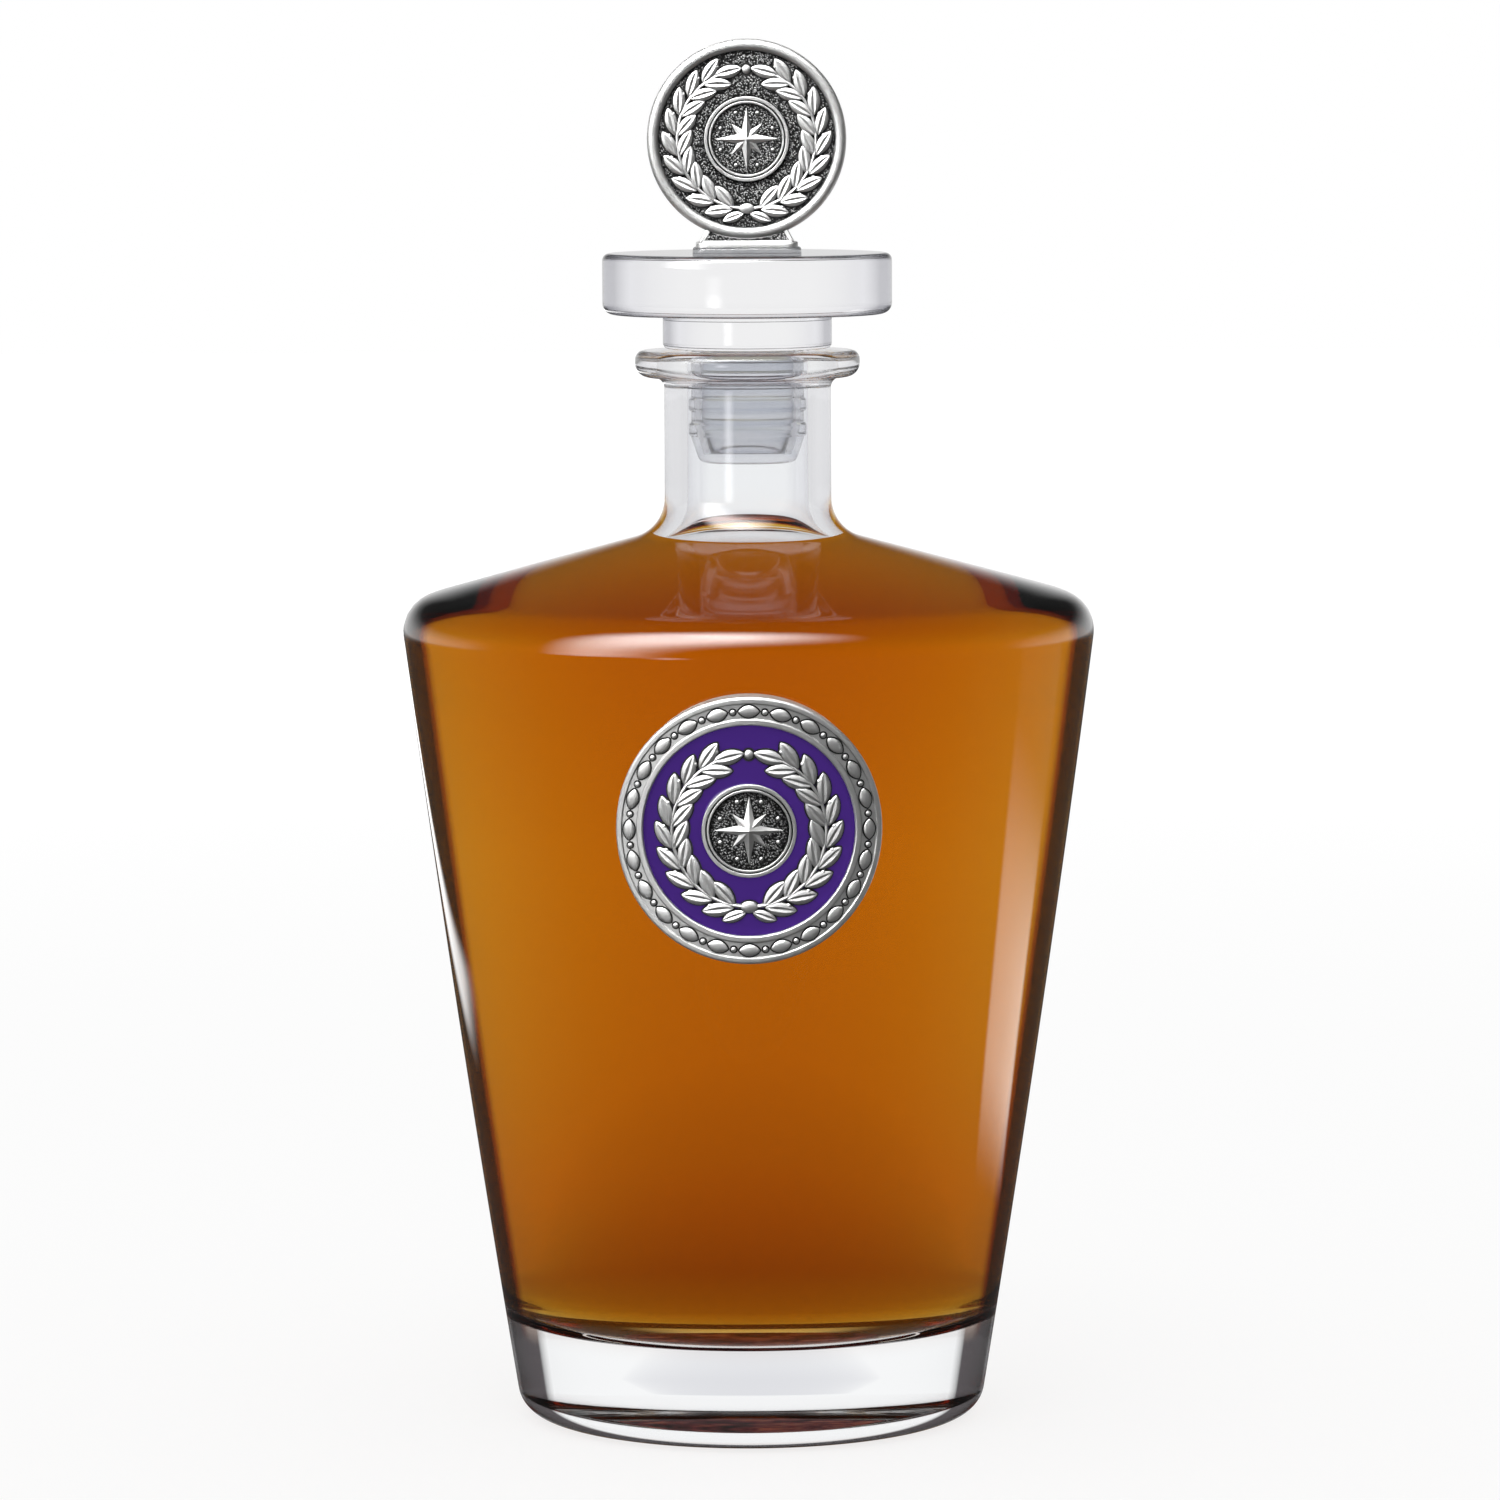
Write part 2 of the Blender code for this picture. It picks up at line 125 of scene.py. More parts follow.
def add_ramp(tree, share, stops):
    """A ColorRamp with stops of (position, hex colour)."""
    node = add_node(tree, "ValToRGB", {0: share})
    elements = node.color_ramp.elements
    while len(elements) < len(stops):
        elements.new(1.0)
    for element, (position, colour) in zip(elements, stops):
        element.position = position
        element.color = linear(colour)
    return node.outputs["Color"]


def mix_colours(tree, share, when_zero, when_one, **settings):
    """Mix two colours by a share from 0 to 1."""
    inputs = {0: share, 6: when_zero, 7: when_one}
    return add_node(tree, "Mix", inputs, data_type="RGBA", **settings).outputs[2]


def vector_math(tree, operation, *values):
    """The outputs of a Vector Math node on vectors or sockets."""
    return add_node(tree, "VectorMath", dict(enumerate(values)), operation=operation).outputs


def split(tree, vector):
    """The X, Y and Z outputs of a vector."""
    return add_node(tree, "SeparateXYZ", {"Vector": vector}).outputs


def ray_kinds(tree):
    """Shares, 0 or 1, that tell rays apart by the way they came."""
    rays = add_node(tree, "LightPath").outputs

    def fewer(depth, limit):
        return calculate(tree, "LESS_THAN", rays[depth], limit)

    mirrored_once = fewer("Glossy Depth", 1.5)
    inside = rays["Is Transmission Ray"]
    return {
        "from camera": rays["Is Camera Ray"],
        "mirrored": rays["Is Glossy Ray"],
        "inside": inside,
        "only bent": multiply(tree, inside, fewer("Glossy Depth", 0.5)),
        "few faces": multiply(tree, mirrored_once, fewer("Transmission Depth", 2.5)),
        "first mirror": multiply(tree, mirrored_once, fewer("Transmission Depth", 0.5)),
        "through spirit": calculate(tree, "GREATER_THAN", rays["Transmission Depth"], 4.5),
    }


# The room: its brightness along a ray, where 1 is the sweep's. What the camera sees, straight or only bent by
# glass, is the bare sweep. Mirrored rays see the sweep fade to a dim ceiling, and rays inside the glass see
# its brightness turn down towards the front. Sines are those of a ray's rise above the table.

SWEEP_BRIGHTNESS = 1.0
ROOM_ON_DULL_SURFACES = 0.75
SWEEP_IN_REFLECTIONS = 0.9
CEILING_IN_REFLECTIONS = 0.03
SWEEP_BEHIND = (0.0, 0.4)
SWEEP_TOP_SINE = -0.01
CEILING_SINE = 0.26
INSIDE_CEILINGS = (0.03, 0.42)
INSIDE_SINES = (0.42, 0.545)
INSIDE_SIDES = (-0.6, 0.45, 0.5, 1.0)
OVERHEAD_PLACE = (-0.27, -0.5, 0)
OVERHEAD_REACH = (0.84, 0.42, 1)
OVERHEAD_CORE = 0.2
OVERHEAD_BRIGHTNESS = 17

room = bpy.data.worlds.new("studio_room")
room.use_nodes = True
room.node_tree.nodes.clear()
bpy.context.scene.world = room
tree = room.node_tree
rays = ray_kinds(tree)
direction = add_node(tree, "TexCoord").outputs["Generated"]
axes = split(tree, direction)
rise = axes["Z"]
sweep_glow = ramp_between(tree, axes["Y"], *SWEEP_BEHIND, CEILING_IN_REFLECTIONS, SWEEP_IN_REFLECTIONS)
mirrored_room = ramp_between(tree, rise, SWEEP_TOP_SINE, CEILING_SINE, sweep_glow, CEILING_IN_REFLECTIONS)
off_middle = vector_math(tree, "SUBTRACT", direction, OVERHEAD_PLACE)[0]
off_middle = vector_math(tree, "DIVIDE", off_middle, OVERHEAD_REACH)[0]
off_middle = vector_math(tree, "MULTIPLY", off_middle, (1, 1, 0))[0]
off_middle = vector_math(tree, "LENGTH", off_middle)["Value"]
overhead = ramp_between(tree, off_middle, OVERHEAD_CORE, 1.0, OVERHEAD_BRIGHTNESS, 0.0)
overhead = multiply(tree, overhead, calculate(tree, "GREATER_THAN", rise, 0.0), rays["first mirror"])
mirrored_room = calculate(tree, "ADD", mirrored_room, overhead)
inside_ceiling = choose(tree, rays["few faces"], *INSIDE_CEILINGS)
inside_room = ramp_between(tree, rise, *INSIDE_SINES, SWEEP_IN_REFLECTIONS, inside_ceiling)
inside_room = multiply(tree, inside_room, ramp_between(tree, axes["Y"], *INSIDE_SIDES))
strength = choose(tree, rays["mirrored"], ROOM_ON_DULL_SURFACES, mirrored_room)
strength = choose(tree, rays["inside"], strength, inside_room)
seen = calculate(tree, "MAXIMUM", rays["from camera"], rays["only bent"])
strength = choose(tree, seen, strength, SWEEP_BRIGHTNESS)
sky = add_node(tree, "Background", {"Color": linear("FFFFFF"), "Strength": strength})
add_node(tree, "OutputWorld", {"Surface": sky.outputs[0]})

# White paper: matt, and lit evenly enough to burn out to white round the bottle's faint shadow. Where the
# glass bends it into view it carries a painted shadow of the bottle, darker near it, and tinted amber where
# the light would come through the spirit. Two cards lying on it streak the walls.

FLOOR_SIDE = 8.0
FLOOR_DROP = 0.2 * MM
FLOOR_GREY = 0.22
FLOOR_SEEN = (0.3, 2.0, 0.8, 0.92)
FLOOR_MIRRORED = (0.9, 3.0)
FLOOR_IN_REFLECTIONS = 0.05
FLOOR_INSIDE_GLASS = (-0.12, -0.02, 0.3, 0.85)
PAPER_REACH = 1.6
# Painted shadow: the paper's colour near the bottle as seen through the glass, darker close by, amber through
# the spirit.
PAINTED_SPIRIT_SHADOW = [(0.09, "D2CBAA"), (0.15, "DAD2B4"), (0.28, "E2DABC"), (0.56, "F0F4EE"), (1.0, "FFFFFF")]
PAINTED_GLASS_SHADOW = [(0.04, "C4C4CC"), (0.12, "E2E2E6"), (0.5, "FFFFFF")]
RIGHT_CARD_BEARING = math.radians(113)
RIGHT_CARD_HALF_WIDTH = math.radians(14)
RIGHT_CARD_SOLID_SHARE = 0.8
RIGHT_CARD_FADE = (0.28, 0.52, 2.4, 0.12)
RIGHT_CARD_NEAR = (0.15, 0.24)
LEFT_CARD_START = (-0.28, -0.24, 0.0, 2.4)
LEFT_CARD_END = (-0.22, -0.18, 1.0, 0.0)
LEFT_CARD_NEAR = (0.18, 0.3)


def object_place(tree):
    """Where a point lies, in the object's own metres."""
    return add_node(tree, "TexCoord").outputs["Object"]


floor_material, tree = new_material("white_paper_sweep")
rays = ray_kinds(tree)
place = object_place(tree)
spots = split(tree, place)
away = vector_math(tree, "LENGTH", place)["Value"]
bearing = vector_math(tree, "NORMALIZE", place)[0]
backwards = split(tree, bearing)["Y"]
sweep_glow = ramp_between(tree, backwards, *SWEEP_BEHIND, FLOOR_IN_REFLECTIONS, SWEEP_IN_REFLECTIONS)
mirrored_floor = ramp_between(tree, away, *FLOOR_MIRRORED, FLOOR_IN_REFLECTIONS, sweep_glow)
aim = (math.sin(RIGHT_CARD_BEARING), -math.cos(RIGHT_CARD_BEARING), 0)
along = vector_math(tree, "DOT_PRODUCT", bearing, aim)["Value"]
edge, solid = (math.cos(RIGHT_CARD_HALF_WIDTH * share) for share in (1.0, RIGHT_CARD_SOLID_SHARE))
right_card = multiply(
    tree,
    ramp_between(tree, along, edge, solid),
    ramp_between(tree, away, *RIGHT_CARD_FADE),
    ramp_between(tree, away, *RIGHT_CARD_NEAR),
)
left_card = multiply(
    tree,
    ramp_between(tree, spots["X"], *LEFT_CARD_START),
    ramp_between(tree, spots["X"], *LEFT_CARD_END),
    ramp_between(tree, spots["Y"], *LEFT_CARD_NEAR),
)
mirrored_floor = calculate(tree, "ADD", mirrored_floor, calculate(tree, "ADD", right_card, left_card))
glow = choose(tree, rays["mirrored"], ROOM_ON_DULL_SURFACES, mirrored_floor)
glow = choose(tree, rays["inside"], glow, ramp_between(tree, spots["Y"], *FLOOR_INSIDE_GLASS))
glow = choose(tree, rays["from camera"], glow, ramp_between(tree, away, *FLOOR_SEEN))
reach = calculate(tree, "DIVIDE", away, PAPER_REACH)
# Painted shade: rays only bent by the glass see the paper darker near the bottle, and amber through the
# spirit.
behind = mix_colours(
    tree, rays["through spirit"], add_ramp(tree, reach, PAINTED_GLASS_SHADOW), add_ramp(tree, reach, PAINTED_SPIRIT_SHADOW)
)
colour = mix_colours(tree, rays["only bent"], glow, behind)
paper = add_node(tree, "BsdfDiffuse", {"Color": multiply(tree, rays["from camera"], FLOOR_GREY)})
light = add_node(tree, "Emission", {"Color": colour, "Strength": 1.0})
both = add_node(tree, "AddShader", {0: paper.outputs[0], 1: light.outputs[0]})
add_node(tree, "OutputMaterial", {"Surface": both.outputs[0]})

floor_mesh = bmesh.new()
bmesh.ops.create_grid(floor_mesh, x_segments=1, y_segments=1, size=FLOOR_SIDE / 2)
bmesh.ops.translate(floor_mesh, vec=(0, 0, -FLOOR_DROP), verts=floor_mesh.verts)
floor_data = bpy.data.meshes.new("paper_sweep")
floor_mesh.to_mesh(floor_data)
floor_mesh.free()
floor_data.materials.append(floor_material)
floor = add_object("paper_sweep", floor_data)


def add_softbox(name, place, aim, width, height, brightness, soft_share=0.4):
    """A softbox that fades towards its edges; a brightness of 1 is as bright as the sweep."""
    data = bpy.data.lights.new(name, "AREA")
    data.use_nodes = True
    tree = data.node_tree
    tree.nodes.clear()
    across = split(tree, add_node(tree, "NewGeometry").outputs["Parametric"])
    fade = 1.0
    for axis in ("X", "Y"):
        near_edge = calculate(tree, "PINGPONG", across[axis], 0.5)
        fade = multiply(tree, fade, ramp_between(tree, near_edge, 0.0, soft_share))
    diffuser = add_node(tree, "Emission", {"Strength": fade})
    add_node(tree, "OutputLight", {"Surface": diffuser.outputs[0]})
    data.shape = "RECTANGLE"
    data.size = width
    data.size_y = height
    data.energy = brightness * math.pi * width * height
    lamp = add_object(name, data)
    lamp.location = place
    lamp.rotation_euler = (Vector(aim) - Vector(place)).to_track_quat("-Z", "Y").to_euler()
    lamp.visible_camera = False
    lamp.visible_transmission = False
    return lamp


add_softbox(
    "neck_strip", (-0.53, -1.08, 0.1), aim=(0, 0, 0.1), width=0.4, height=0.15, brightness=5.5, soft_share=0.5
)
add_softbox("overhead_fill", (-0.1, -0.5, 1.0), aim=(0, 0, 0.14), width=0.5, height=0.4, brightness=3.0)

bpy.context.scene.view_settings.view_transform = "Standard"
cycles = bpy.context.scene.cycles
cycles.max_bounces = 32
cycles.transmission_bounces = 32
cycles.glossy_bounces = 12
cycles.transparent_max_bounces = 16

# Decanter glass
# One heavy piece of clear flint glass: a tapered body on a thick pressed base, a cone of a shoulder, and
# a straight neck whose mouth is folded out into a ring and polished in the flame.

BASE_RADIUS = 38.3 * MM
BODY_HEIGHT = 135.4 * MM
BODY_TOP_RADIUS = 57.83 * MM
WALL_BULGE = 0.6 * MM
SHOULDER_RISE = 12.1 * MM
NECK_RADIUS = 13.8 * MM
NECK_LENGTH = 29.5 * MM
BASE_FILLET = 4.8 * MM
SHOULDER_FILLET = 6.2 * MM
NECK_FILLET = 6.8 * MM
LIP_RADIUS = 18.57 * MM
LIP_THICKNESS = 4.1 * MM
LIP_UNDERCUT = 0.6 * MM
LIP_TOP_FILLET = 1.5 * MM
LIP_BOTTOM_FILLET = 2.3 * MM
LIP_ROOT_FILLET = 1.6 * MM
FOOT_WIDTH = 3.6 * MM
FOOT_FILLET = 1.6 * MM
PUSH_UP_DEPTH = 2.4 * MM
PUSH_UP_SLOPE_WIDTH = 20.0 * MM
PUSH_UP_FILLET = 70.0 * MM
BORE_RADIUS = 10.0 * MM
SIDE_WALL = 5.0 * MM
SHOULDER_WALL = 4.1 * MM
FLOOR_THICKNESS = 16.3 * MM
FLOOR_FILLET = 9.0 * MM
INNER_SHOULDER_FILLET = 4.0 * MM
MOUTH_FILLET = 0.6 * MM
WALL_STATIONS = 30
LONGEST_RUN = 3.0 * MM
EASE_REACH = 14.0 * MM
EASE_RUN = 0.6 * MM
EASE_PASSES = 22
GLASS_SEGMENTS = 180
ARC_STEP = math.radians(6)
MERGE = 0.001 * MM

NECK_BASE_HEIGHT = BODY_HEIGHT + SHOULDER_RISE
MOUTH_HEIGHT = NECK_BASE_HEIGHT + NECK_LENGTH
LIQUOR_DROP = 4.0 * MM
LIQUOR_LEVEL = NECK_BASE_HEIGHT - LIQUOR_DROP
MENISCUS_RISE = 0.35 * MM


def rounded(corners):
    """Outline points from corners (radius, height, fillet), each corner rounded to its fillet."""
    points = []
    for index, (radius, height, fillet) in enumerate(corners):
        here = Vector((radius, height))
        if not fillet:
            points.append(here)
            continue
        before = (Vector(corners[index - 1][:2]) - here).normalized()
        after = (Vector(corners[index + 1][:2]) - here).normalized()
        half = before.angle(after) / 2
        centre = here + (before + after).normalized() * (fillet / math.sin(half))
        spoke = here + before * (fillet / math.tan(half)) - centre
        turn = math.pi - 2 * half
        steps = max(2, math.ceil(turn / ARC_STEP))
        way = math.copysign(1, after.cross(before))
        for step in range(steps + 1):
            points.append(centre + Matrix.Rotation(way * turn * step / steps, 2) @ spoke)
    return points


def with_stations(outline, longest, corner=None):
    """Add points along an outline's long runs, or only along those near a corner that is to be eased."""
    points = [outline[0]]
    for before, after in zip(outline, outline[1:]):
        near = corner is None or (before.lerp(after, 0.5) - corner).length < EASE_REACH
        pieces = max(1, math.ceil((after - before).length / longest)) if near else 1
        points += [before.lerp(after, step / pieces) for step in range(1, pieces + 1)]
    return points


def spin(shape, geom, angle, steps, **settings):
    """Sweep part of a bmesh about Z."""
    centre = {"cent": (0, 0, 0), "axis": (0, 0, 1)}
    bmesh.ops.spin(shape, geom=geom, angle=angle, steps=steps, **centre, **settings)


def turned(outline, segments, closed=False):
    """A bmesh turned about Z from outline points; its ends lie on the axis unless it is closed."""
    mesh_data = bmesh.new()
    verts = [mesh_data.verts.new((point.x, 0, point.y)) for point in outline]
    edges = [mesh_data.edges.new(pair) for pair in zip(verts, verts[1:])]
    if closed:
        edges.append(mesh_data.edges.new((verts[-1], verts[0])))
    spin(mesh_data, verts + edges, 2 * math.pi, segments, use_merge=True)
    bmesh.ops.remove_doubles(mesh_data, verts=mesh_data.verts, dist=MERGE)
    bmesh.ops.recalc_face_normals(mesh_data, faces=mesh_data.faces)
    return mesh_data


def turned_solid(corners, longest, segments):
    """A bmesh turned about Z from corners (radius, height, fillet)."""
    return turned(with_stations(rounded(corners), longest), segments)


def finish_piece(name, mesh_data, materials, body, replaced, sharp_angle=math.radians(40)):
    """Turn a bmesh into a piece that rides on a body and stands for a CAD node."""
    mesh = bpy.data.meshes.new(name)
    mesh_data.to_mesh(mesh)
    mesh_data.free()
    mesh.shade_smooth()
    mesh.set_sharp_from_angle(angle=sharp_angle)
    for material in materials:
        mesh.materials.append(material)
    piece = add_object(name, mesh)
    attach(piece, body)
    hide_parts(replaced)
    return piece


def wall_radius(height):
    """Outside radius of the body's wall at a height: a cone with a slight bulge."""
    share = height / BODY_HEIGHT
    bulge = 4 * WALL_BULGE * share * (1 - share)
    return BASE_RADIUS + (BODY_TOP_RADIUS - BASE_RADIUS) * share + bulge


def shoulder_height(radius):
    """Height of the shoulder's outer face at a radius."""
    share = (BODY_TOP_RADIUS - radius) / (BODY_TOP_RADIUS - NECK_RADIUS)
    return BODY_HEIGHT + SHOULDER_RISE * share


def wall_stations(first, last, wall=0.0):
    """Corners at even heights along the body, this far inside its outer face."""
    heights = [BODY_HEIGHT * station / WALL_STATIONS for station in range(first, last)]
    return [(wall_radius(height) - wall, height, 0) for height in heights]


def outside_of_glass():
    """Outline from the middle of the push-up, round the foot and up to the mouth."""
    foot_outer = BASE_RADIUS - BASE_FILLET
    foot_inner = foot_outer - FOOT_WIDTH
    lip_bottom = MOUTH_HEIGHT - LIP_THICKNESS
    return [
        (0, PUSH_UP_DEPTH, 0),
        (foot_inner - PUSH_UP_SLOPE_WIDTH, PUSH_UP_DEPTH, PUSH_UP_FILLET),
        (foot_inner, 0, FOOT_FILLET),
        (BASE_RADIUS, 0, BASE_FILLET),
        *wall_stations(2, WALL_STATIONS),
        (BODY_TOP_RADIUS, BODY_HEIGHT, SHOULDER_FILLET),
        (NECK_RADIUS, NECK_BASE_HEIGHT, NECK_FILLET),
        (NECK_RADIUS, lip_bottom - LIP_UNDERCUT, LIP_ROOT_FILLET),
        (LIP_RADIUS, lip_bottom, LIP_BOTTOM_FILLET),
        (LIP_RADIUS, MOUTH_HEIGHT, LIP_TOP_FILLET),
    ]


def inside_of_glass():
    """Outline of the cavity, from the middle of its floor to the foot of the bore."""
    corner_height = shoulder_height(BODY_TOP_RADIUS - SIDE_WALL) - SHOULDER_WALL
    bore_foot = shoulder_height(BORE_RADIUS) - SHOULDER_WALL
    return [
        (0, FLOOR_THICKNESS, 0),
        (wall_radius(FLOOR_THICKNESS) - SIDE_WALL, FLOOR_THICKNESS, FLOOR_FILLET),
        *wall_stations(6, WALL_STATIONS - 1, SIDE_WALL),
        (wall_radius(corner_height) - SIDE_WALL, corner_height, INNER_SHOULDER_FILLET),
        (BORE_RADIUS, bore_foot, NECK_FILLET + NECK_RADIUS - BORE_RADIUS),
    ]


def eased(outline, corner):
    """Blend the fillet at a corner into its neighbours, as fire polishing leaves it."""
    fine = with_stations(outline, EASE_RUN, corner)
    for _ in range(EASE_PASSES):
        middles = [(a + 2 * b + c) / 4 for a, b, c in zip(fine, fine[1:], fine[2:])]
        kept = [new if (old - corner).length < EASE_REACH else old for old, new in zip(fine[1:], middles)]
        fine = [fine[0], *kept, fine[-1]]
    return fine


def add_finish(tree, inputs):
    """Give a material a Principled surface with these inputs."""
    shader = add_node(tree, "BsdfPrincipled", inputs)
    add_node(tree, "OutputMaterial", {"Surface": shader.outputs[0]})


def clear(tint, ior):
    """Principled inputs of a polished clear surface."""
    return {"Base Color": tint, "Roughness": 0.0, "IOR": ior, "Transmission Weight": 1.0}


def middle_of(face):
    """Radius and height of a face's middle."""
    centre = face.calc_center_median()
    return math.hypot(centre.x, centre.y), centre.z


def facing_away(tree):
    """How far a face turns from the eye: 0 square on, 1 at the outline."""
    return add_node(tree, "LayerWeight", {"Blend": 0.5}).outputs["Facing"]


def add_noise(tree, size, detail, place=None):
    """Noise from 0 to 1 in lumps of a size, over the object unless another place is given."""
    inputs = {"Vector": place or object_place(tree), "Scale": 1 / size, "Detail": detail}
    return add_node(tree, "TexNoise", inputs).outputs[0]


# Flint glass, fire-polished: colourless, mirror smooth, and bright from behind. Its tint carries painted edge
# shade: towards an outline it darkens, standing for the room's dark sides that the glass would bend into
# view, so the heavy body gets painted dark edges, with a painted amber glint at the shoulder's corner, and
# the thin neck pale ones. The body's tint is also painted darker and warmer towards the table. The outer tint
# goes from zone to zone up the bottle, each over a few millimetres of height.

GLASS_IOR = 1.5
SPIRIT_IOR = 1.36
WHITE = linear("FFFFFF")
# Painted edge shade: tints by how far a face turns from the eye, darker towards the outline.
BASE_EDGE_SHADE = [(0.5, "FCFDFE"), (0.56, "1E1A1C"), (0.84, "1A1819"), (0.94, "A5A2A6")]
BODY_EDGE_SHADE = [(0.62, "FCFDFE"), (0.665, "8C5028"), (0.7, "241A14"), (0.84, "2A2628"), (0.9, "8A8A8C")]
CORNER_EDGE_SHADE = [(0.83, "FCFDFE"), (0.87, "C08A48"), (0.91, "3A2A24"), (0.985, "2A2628"), (1.0, "6A666C")]
CONE_EDGE_SHADE = [(0.93, "FCFDFE"), (0.97, "BAB6BE"), (1.0, "4A484E")]
NECK_EDGE_SHADE = [(0.2, "FCFDFE"), (0.36, "E2E2E6"), (0.8, "DCDCE2"), (0.95, "A8A8B0")]
# Painted shade: the body darker and warmer towards the table.
SHADE_NEAR_TABLE = [(0.18, "BE9C8A"), (0.29, "DDB7A6"), (0.46, "EEDDD2"), (0.7, "FFFFFF")]
BODY_ZONE = (14 * MM, 24 * MM)
CORNER_ZONE = (133 * MM, 135.5 * MM)
CONE_ZONE = (136.1 * MM, 137.4 * MM)
NECK_ZONE = (143 * MM, 150 * MM)

flint_glass, tree = new_material("fire_polished_flint_glass_painted_edge_shade")
facing = facing_away(tree)
height = split(tree, object_place(tree))["Z"]
# Painted shade mixed into the glass's tint: darker towards the table and towards each outline.
shade_near_table = add_ramp(tree, calculate(tree, "DIVIDE", height, BODY_HEIGHT), SHADE_NEAR_TABLE)
body_edge_shade = mix_colours(tree, 1.0, add_ramp(tree, facing, BODY_EDGE_SHADE), shade_near_table, blend_type="MULTIPLY")
tint = mix_colours(tree, ramp_between(tree, height, *BODY_ZONE), add_ramp(tree, facing, BASE_EDGE_SHADE), body_edge_shade)
for zone, stops in ((CORNER_ZONE, CORNER_EDGE_SHADE), (CONE_ZONE, CONE_EDGE_SHADE), (NECK_ZONE, NECK_EDGE_SHADE)):
    tint = mix_colours(tree, ramp_between(tree, height, *zone), tint, add_ramp(tree, facing, stops))
add_finish(tree, clear(tint, GLASS_IOR))

# Wetted flint glass: where spirit touches it the glass all but disappears, since they bend light alike.

wetted_glass, tree = new_material("flint_glass_against_spirit")
add_finish(tree, clear(WHITE, GLASS_IOR / SPIRIT_IOR))

# Underside: the middle of the push-up is pressed with a fine grain, and is painted a dark plum with brighter
# spots: painted shade and glints that stand for the spirit seen through the base.

GRAINED_RADIUS = 16.0 * MM
UNDERSIDE_GRAIN = 4 * MM

underside_glass, tree = new_material("grained_flint_glass_underside_painted_shade")
grain = add_noise(tree, UNDERSIDE_GRAIN, 3.0)
# Painted shade and glints: dark plum, brighter where the noise is high.
painted_plum_shade = add_ramp(tree, grain, [(0.35, "2A0C14"), (0.52, "7A3440"), (0.68, "C07468")])
add_finish(tree, {"Base Color": painted_plum_shade, "Roughness": 0.5, "IOR": 1.05})

bore_top = (BORE_RADIUS, MOUTH_HEIGHT - 2 * MOUTH_FILLET, 0)
outside = rounded([*outside_of_glass(), (BORE_RADIUS, MOUTH_HEIGHT, MOUTH_FILLET), bore_top])
outside = eased(with_stations(outside, LONGEST_RUN), Vector((BODY_TOP_RADIUS, BODY_HEIGHT)))
cavity = with_stations(rounded([*inside_of_glass(), bore_top]), LONGEST_RUN)
contact_height = next(point.y for point in cavity if point.y > LIQUOR_LEVEL + MENISCUS_RISE)
body_mesh = turned(outside + cavity[-2::-1], GLASS_SEGMENTS)
for face in body_mesh.faces:
    radius, height = middle_of(face)
    under_shoulder = height < shoulder_height(radius) - SHOULDER_WALL / 2
    inside_wall = radius < wall_radius(height) - SIDE_WALL / 2
    if FLOOR_THICKNESS - MERGE < height < contact_height and under_shoulder and inside_wall:
        face.material_index = 1
    elif height < PUSH_UP_DEPTH + MERGE and radius < GRAINED_RADIUS:
        face.material_index = 2
glass_materials = (flint_glass, wetted_glass, underside_glass)
finish_piece("decanter_body", body_mesh, glass_materials, "bottle", "decanter_glass")

# Liquor
# An aged spirit that fills the body up to the foot of the neck. It wets the glass, so its edge climbs a
# little, and it lies close against the cavity.

CLEAR_OF_GLASS = 0.02 * MM
MENISCUS_WIDTH = 0.7 * MM
MENISCUS_STEPS = 10


def inset(points, distance):
    """Move an outline that runs up the outside of a solid towards its axis side by a distance."""
    moved = []
    for index, point in enumerate(points):
        ahead = points[min(index + 1, len(points) - 1)] - point
        behind = point - points[max(index - 1, 0)]
        along = (ahead.normalized() + behind.normalized()).normalized()
        moved.append(point + Vector((-along.y, along.x)) * distance)
    return moved


def cut_at(points, height):
    """Keep the start of an outline that rises, up to a height."""
    kept = [points[0]]
    for before, after in zip(points, points[1:]):
        if after.y > height:
            share = (height - before.y) / (after.y - before.y)
            kept.append(before.lerp(after, share))
            break
        kept.append(after)
    return kept


liquor_outline = inset(cavity, CLEAR_OF_GLASS)
liquor_outline[0].x = 0
liquor_outline = cut_at(liquor_outline, contact_height)
brim = liquor_outline[-1].x
for step in range(1, MENISCUS_STEPS + 1):
    away = 4 * MENISCUS_WIDTH * (step / MENISCUS_STEPS) ** 2
    height = LIQUOR_LEVEL + (contact_height - LIQUOR_LEVEL) * math.exp(-away / MENISCUS_WIDTH)
    liquor_outline.append(Vector((brim - away, height)))
liquor_outline.append(Vector((0, LIQUOR_LEVEL)))

# Spirit: clear, and coloured only by depth, pale straw where it is thin and orange-brown through the middle.
# Only its open surface bends the light fully: against the glass, the glass's own face does.

OPEN_SURFACE = "open_surface"
GLARE_FACING = (0.6, 0.8)

spirit, tree = new_material("aged_spirit")
open_share = add_node(tree, "Attribute", attribute_name=OPEN_SURFACE).outputs["Fac"]
in_air = add_node(tree, "BsdfPrincipled", clear(WHITE, SPIRIT_IOR))
on_glass = add_node(tree, "BsdfPrincipled", clear(WHITE, 1.0))
mirror = add_node(tree, "BsdfGlossy", {"Color": WHITE, "Roughness": 0.0})
glare = ramp_between(tree, facing_away(tree), *GLARE_FACING)
top = add_node(tree, "MixShader", {0: glare, 1: in_air.outputs[0], 2: mirror.outputs[0]})
surface = add_node(tree, "MixShader", {0: open_share, 1: on_glass.outputs[0], 2: top.outputs[0]})
depth = add_node(tree, "VolumeAbsorption", {"Color": linear("F4DC00"), "Density": 80.0})
add_node(tree, "OutputMaterial", {"Surface": surface.outputs[0], "Volume": depth.outputs[0]})

